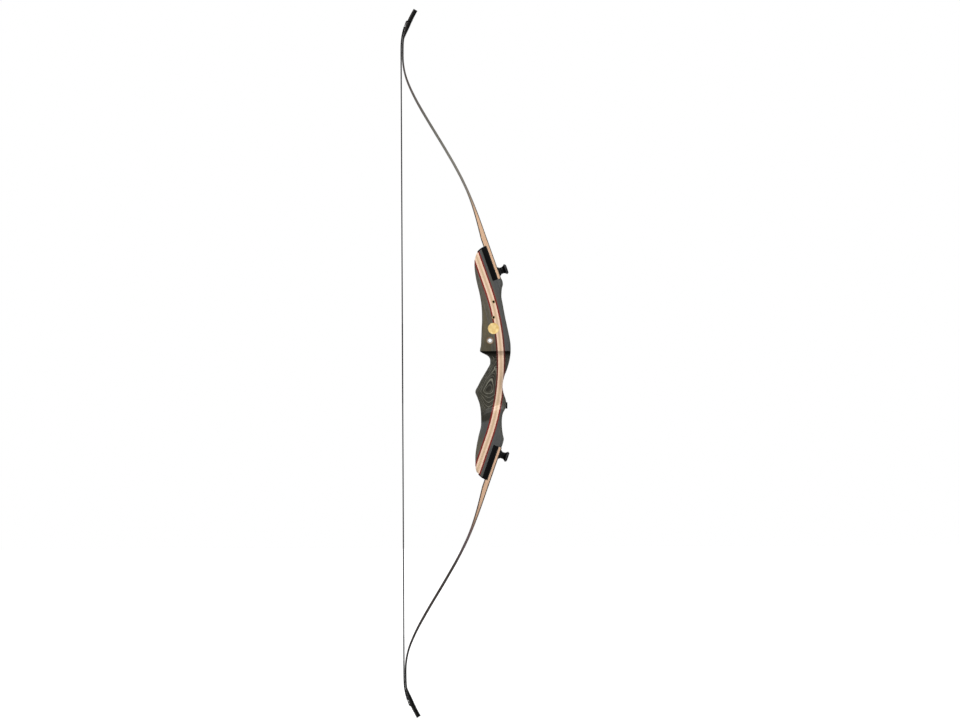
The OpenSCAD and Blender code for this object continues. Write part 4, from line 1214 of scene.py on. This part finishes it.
edge = MEDALLION_D / 2
disc = lathe("medallion_disc", [
    (0, -MEDALLION_T), (edge - 0.1, -MEDALLION_T), (edge, -MEDALLION_T + 0.1), (edge, -0.3), (edge - 0.3, 0),
    (edge - 1.0, 0), (edge - 1.25, -0.22), (edge - 1.9, -0.25), (edge - 2.1, -0.16), (edge - 2.3, -0.25),
    (0, -0.25)], facing_side(*MEDALLION, -PROUD), 128)
dress(disc, "medallion_gold", "riser", "medallion")

edge, top, floor_at = FLANGE_D / 2, FLANGE_T, 2 - BUSHING_LEN
bushing = lathe("stabiliser_socket", [
    (0, -BUSHING_LEN), (BUSHING_D / 2, -BUSHING_LEN), (BUSHING_D / 2, 0), (edge - 0.2, 0), (edge, 0.2),
    (edge, top - 0.6), (edge - 0.2, top - 0.2), (edge - 0.6, top), (bore + 0.7, top), (bore, top - 0.7),
    (bore, floor_at), (0, floor_at)], on_stabiliser, 64)
dress(bushing, "bushing_black", "riser", "stabiliser_bushing")


# String

def sweep_tube(name, path, steps, radius):
    """Closed tube along a path; radius(distance, turn) gives the section's outline."""
    points = [Vector(p) for p in path]
    u = Vector((0, 1, 0))
    rings = []
    travelled = 0.0
    for k, point in enumerate(points):
        d = (points[min(k + 1, len(points) - 1)] - points[max(k - 1, 0)]).normalized()
        u = (u - d * u.dot(d)).normalized()
        v = d.cross(u)
        if k:
            travelled += (point - points[k - 1]).length
        ring = []
        for t in (i / steps for i in range(steps)):
            a, r = 2 * pi * t, radius(travelled, t)
            ring.append(tuple(point + r * cos(a) * u + r * sin(a) * v))
        rings.append(ring)
    return loft(name, rings)


def hollow(phase, depth):
    """How deep the outline of round threads side by side lies, at a share of the way across one."""
    return depth * (1 - sqrt(max(0.0, 1 - (2 * (phase % 1.0) - 1) ** 2)))


WRAP = 0.8
WRAP_DEPTH = 0.16
LOOP_WRAP_DEPTH = 0.12
WRAP_SIDES = 14
STRANDS = 9
STRAND_DEPTH = 0.12
LAY = 70.0
LOOP_CORNER = 1.2


def wrapped(r, depth):
    """Outline of a close winding of thread."""
    return lambda travelled, t: r - hollow(travelled / WRAP - t, depth)


def twisted(travelled, t):
    """Outline of the string's bundle of strands, twisted slowly."""
    return STRING_D / 2 - hollow((t + travelled / LAY) * STRANDS, STRAND_DEPTH)


CONTACT_S = ARC_AT[CONTACT_ARC]
CONTACT = lying_at("upper", CONTACT_S)
CONTACT_H = CONTACT[2] + DROP
THROAT_S = NOCK_AT - LOOP_LEN
WINDING_STEP = WRAP / 5
STRANDS_FROM = 60
STRANDS_TO = 610
LIFT_BLEND = 14
THROAT_BLEND = 10


def build_string(side):
    """One half of the string: strands, centre serving, end serving and loop."""
    def straight(a, b, step):
        return [half(side, (CONTACT[0], 0, h)) for h in stops(a, b, step)]

    strands = sweep_tube(side + "_strands", straight(STRANDS_FROM, STRANDS_TO, 2.5), 54, twisted)
    dress(strands, "string_strands", side + "_string", side + "_string", angle=60)
    centre = sweep_tube(side + "_centre_winding", straight(0.0, CENTRE_SERVING, WINDING_STEP),
                        WRAP_SIDES, wrapped(SERVING_R, WRAP_DEPTH))
    dress(centre, "serving_thread", side + "_string", side + "_centre_serving", angle=70)
    path = straight(END_SERVING_TO, CONTACT_H - WINDING_STEP, WINDING_STEP)
    path += [lying_at(side, s) for s in stops(CONTACT_S, THROAT_S, WINDING_STEP)]
    end = sweep_tube(side + "_end_winding", path, WRAP_SIDES, wrapped(SERVING_R, WRAP_DEPTH))
    dress(end, "serving_thread", None, side + "_end_serving", side + "_served_end", angle=70)
    metres(half(side, (CONTACT[0], 0, CONTACT_H + LIFT_BLEND)))
    metres(half(side, (CONTACT[0], 0, CONTACT_H - LIFT_BLEND)))
    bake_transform(end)
    loop = sweep_tube(side + "_loop", loop_path(side), WRAP_SIDES, wrapped(LOOP_R, LOOP_WRAP_DEPTH))
    dress(loop, "serving_thread", None, side + "_string_loop", angle=70)
    metres(lying_at(side, THROAT_S + THROAT_BLEND))
    metres(lying_at(side, THROAT_S))
    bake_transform(loop)


def loop_path(side):
    """From the throat up one flank of the tip, over the back in the nock and down the other flank."""
    under = belly_depth(NOCK_AT) + STRING_GAP + SERVING_R
    flank_y = half_limb_w(NOCK_AT) - NOCK_R + LOOP_R + LOOP_GAP
    bend = LOOP_BACK + LOOP_CORNER
    first = Vector(limb_point(side, THROAT_S + 1.2, under, LOOP_R * 1.05))
    knee = Vector(limb_point(side, flank_s(under), under, flank_y))
    top = Vector(limb_point(side, flank_s(bend), bend, flank_y))
    before, after = knee + (first - knee) * 0.3, knee + (top - knee) * 0.16
    leg = [first + (before - first) * k / 24 for k in range(24)]
    for t in (k / 12 for k in range(13)):
        leg.append(before * (1 - t) ** 2 + knee * 2 * t * (1 - t) + after * t * t)
    leg += [after + (top - after) * k / 20 for k in range(1, 20)]
    for a in (radians(90 * k / 8) for k in range(9)):
        d = LOOP_BACK + LOOP_CORNER * (1 - sin(a))
        leg.append(Vector(limb_point(side, flank_s(d), d, flank_y - LOOP_CORNER * (1 - cos(a)))))
    x, y, z = leg[-1]
    across = [1 - k / 20 for k in range(1, 20)] + [-k / 20 for k in range(1, 20)]
    return (leg + [Vector((x, y * share, z)) for share in across]
            + [Vector((p[0], -p[1], p[2])) for p in reversed(leg)])


for side in SIDES:
    build_string(side)


# Floor and light

def seen_by(tree):
    """1 where the camera looks, directly or by way of metal or glass, and otherwise 0."""
    rays = tree.node("LightPath").outputs
    seen = tree.plus(rays["Is Camera Ray"], tree.plus(rays["Is Glossy Ray"], rays["Is Transmission Ray"]))
    seen.node.use_clamp = True
    return seen


# The floor takes shadows near the bow, and farther off it shines up to the white of the background
FLOOR_Z = cad_box[0][2] / MM - 1
FLOOR = [(-6000, -6000), (6000, -6000), (6000, 9000), (-6000, 9000)]
floor = new_mesh("floor", [(x, y, FLOOR_Z) for x, y in FLOOR], [(0, 1, 2, 3)])
ground = Paint("floor_pale")
reach = ground.node("VectorMath", {0: ground.node("TexCoord").outputs["Object"]}, operation="LENGTH")
lift = ground.node("MapRange", {
    "From Min": 2.0, "From Max": 5.0, "To Min": 0.7, "To Max": 1.0, "Value": reach.outputs["Value"]})
ground.feed(ground.shader, {
    "Base Color": tone(0.5), "Roughness": 0.9, "Emission Color": tone(1),
    "Emission Strength": ground.times(seen_by(ground), lift.outputs["Result"])})
floor.data.materials.append(ground.material)

# The world lights the bow weakly, and is white where it is seen
WORLD_LIGHT = 0.26
world = bpy.data.worlds.new("studio")
bpy.context.scene.world = world
world.use_nodes = True
world.node_tree.nodes.clear()
sky = Tree(world.node_tree)
weak, white = [sky.node("Background", {"Color": tone(1), "Strength": strength}).outputs[0]
               for strength in (WORLD_LIGHT, 1.0)]
blend = sky.node("MixShader", {0: seen_by(sky), 1: weak, 2: white})
sky.node("OutputWorld", {"Surface": blend.outputs[0]})


def lamp(name, place, size, power):
    """A square lamp that shines at the grip."""
    data = bpy.data.lights.new(name, "AREA")
    data.shape = "SQUARE"
    data.size = size
    data.energy = power
    obj = link(bpy.data.objects.new(name, data))
    obj.location = place
    obj.rotation_euler = (-Vector(place)).to_track_quat("-Z", "Y").to_euler()


lamp("key", (-1.6, -3.0, 3.6), 1.6, 215)
lamp("fill", (3.0, -3.0, 1.2), 2.4, 35)
lamp("back", (0.5, 3.6, 2.4), 2.4, 50)
bpy.context.scene.view_settings.view_transform = "Standard"
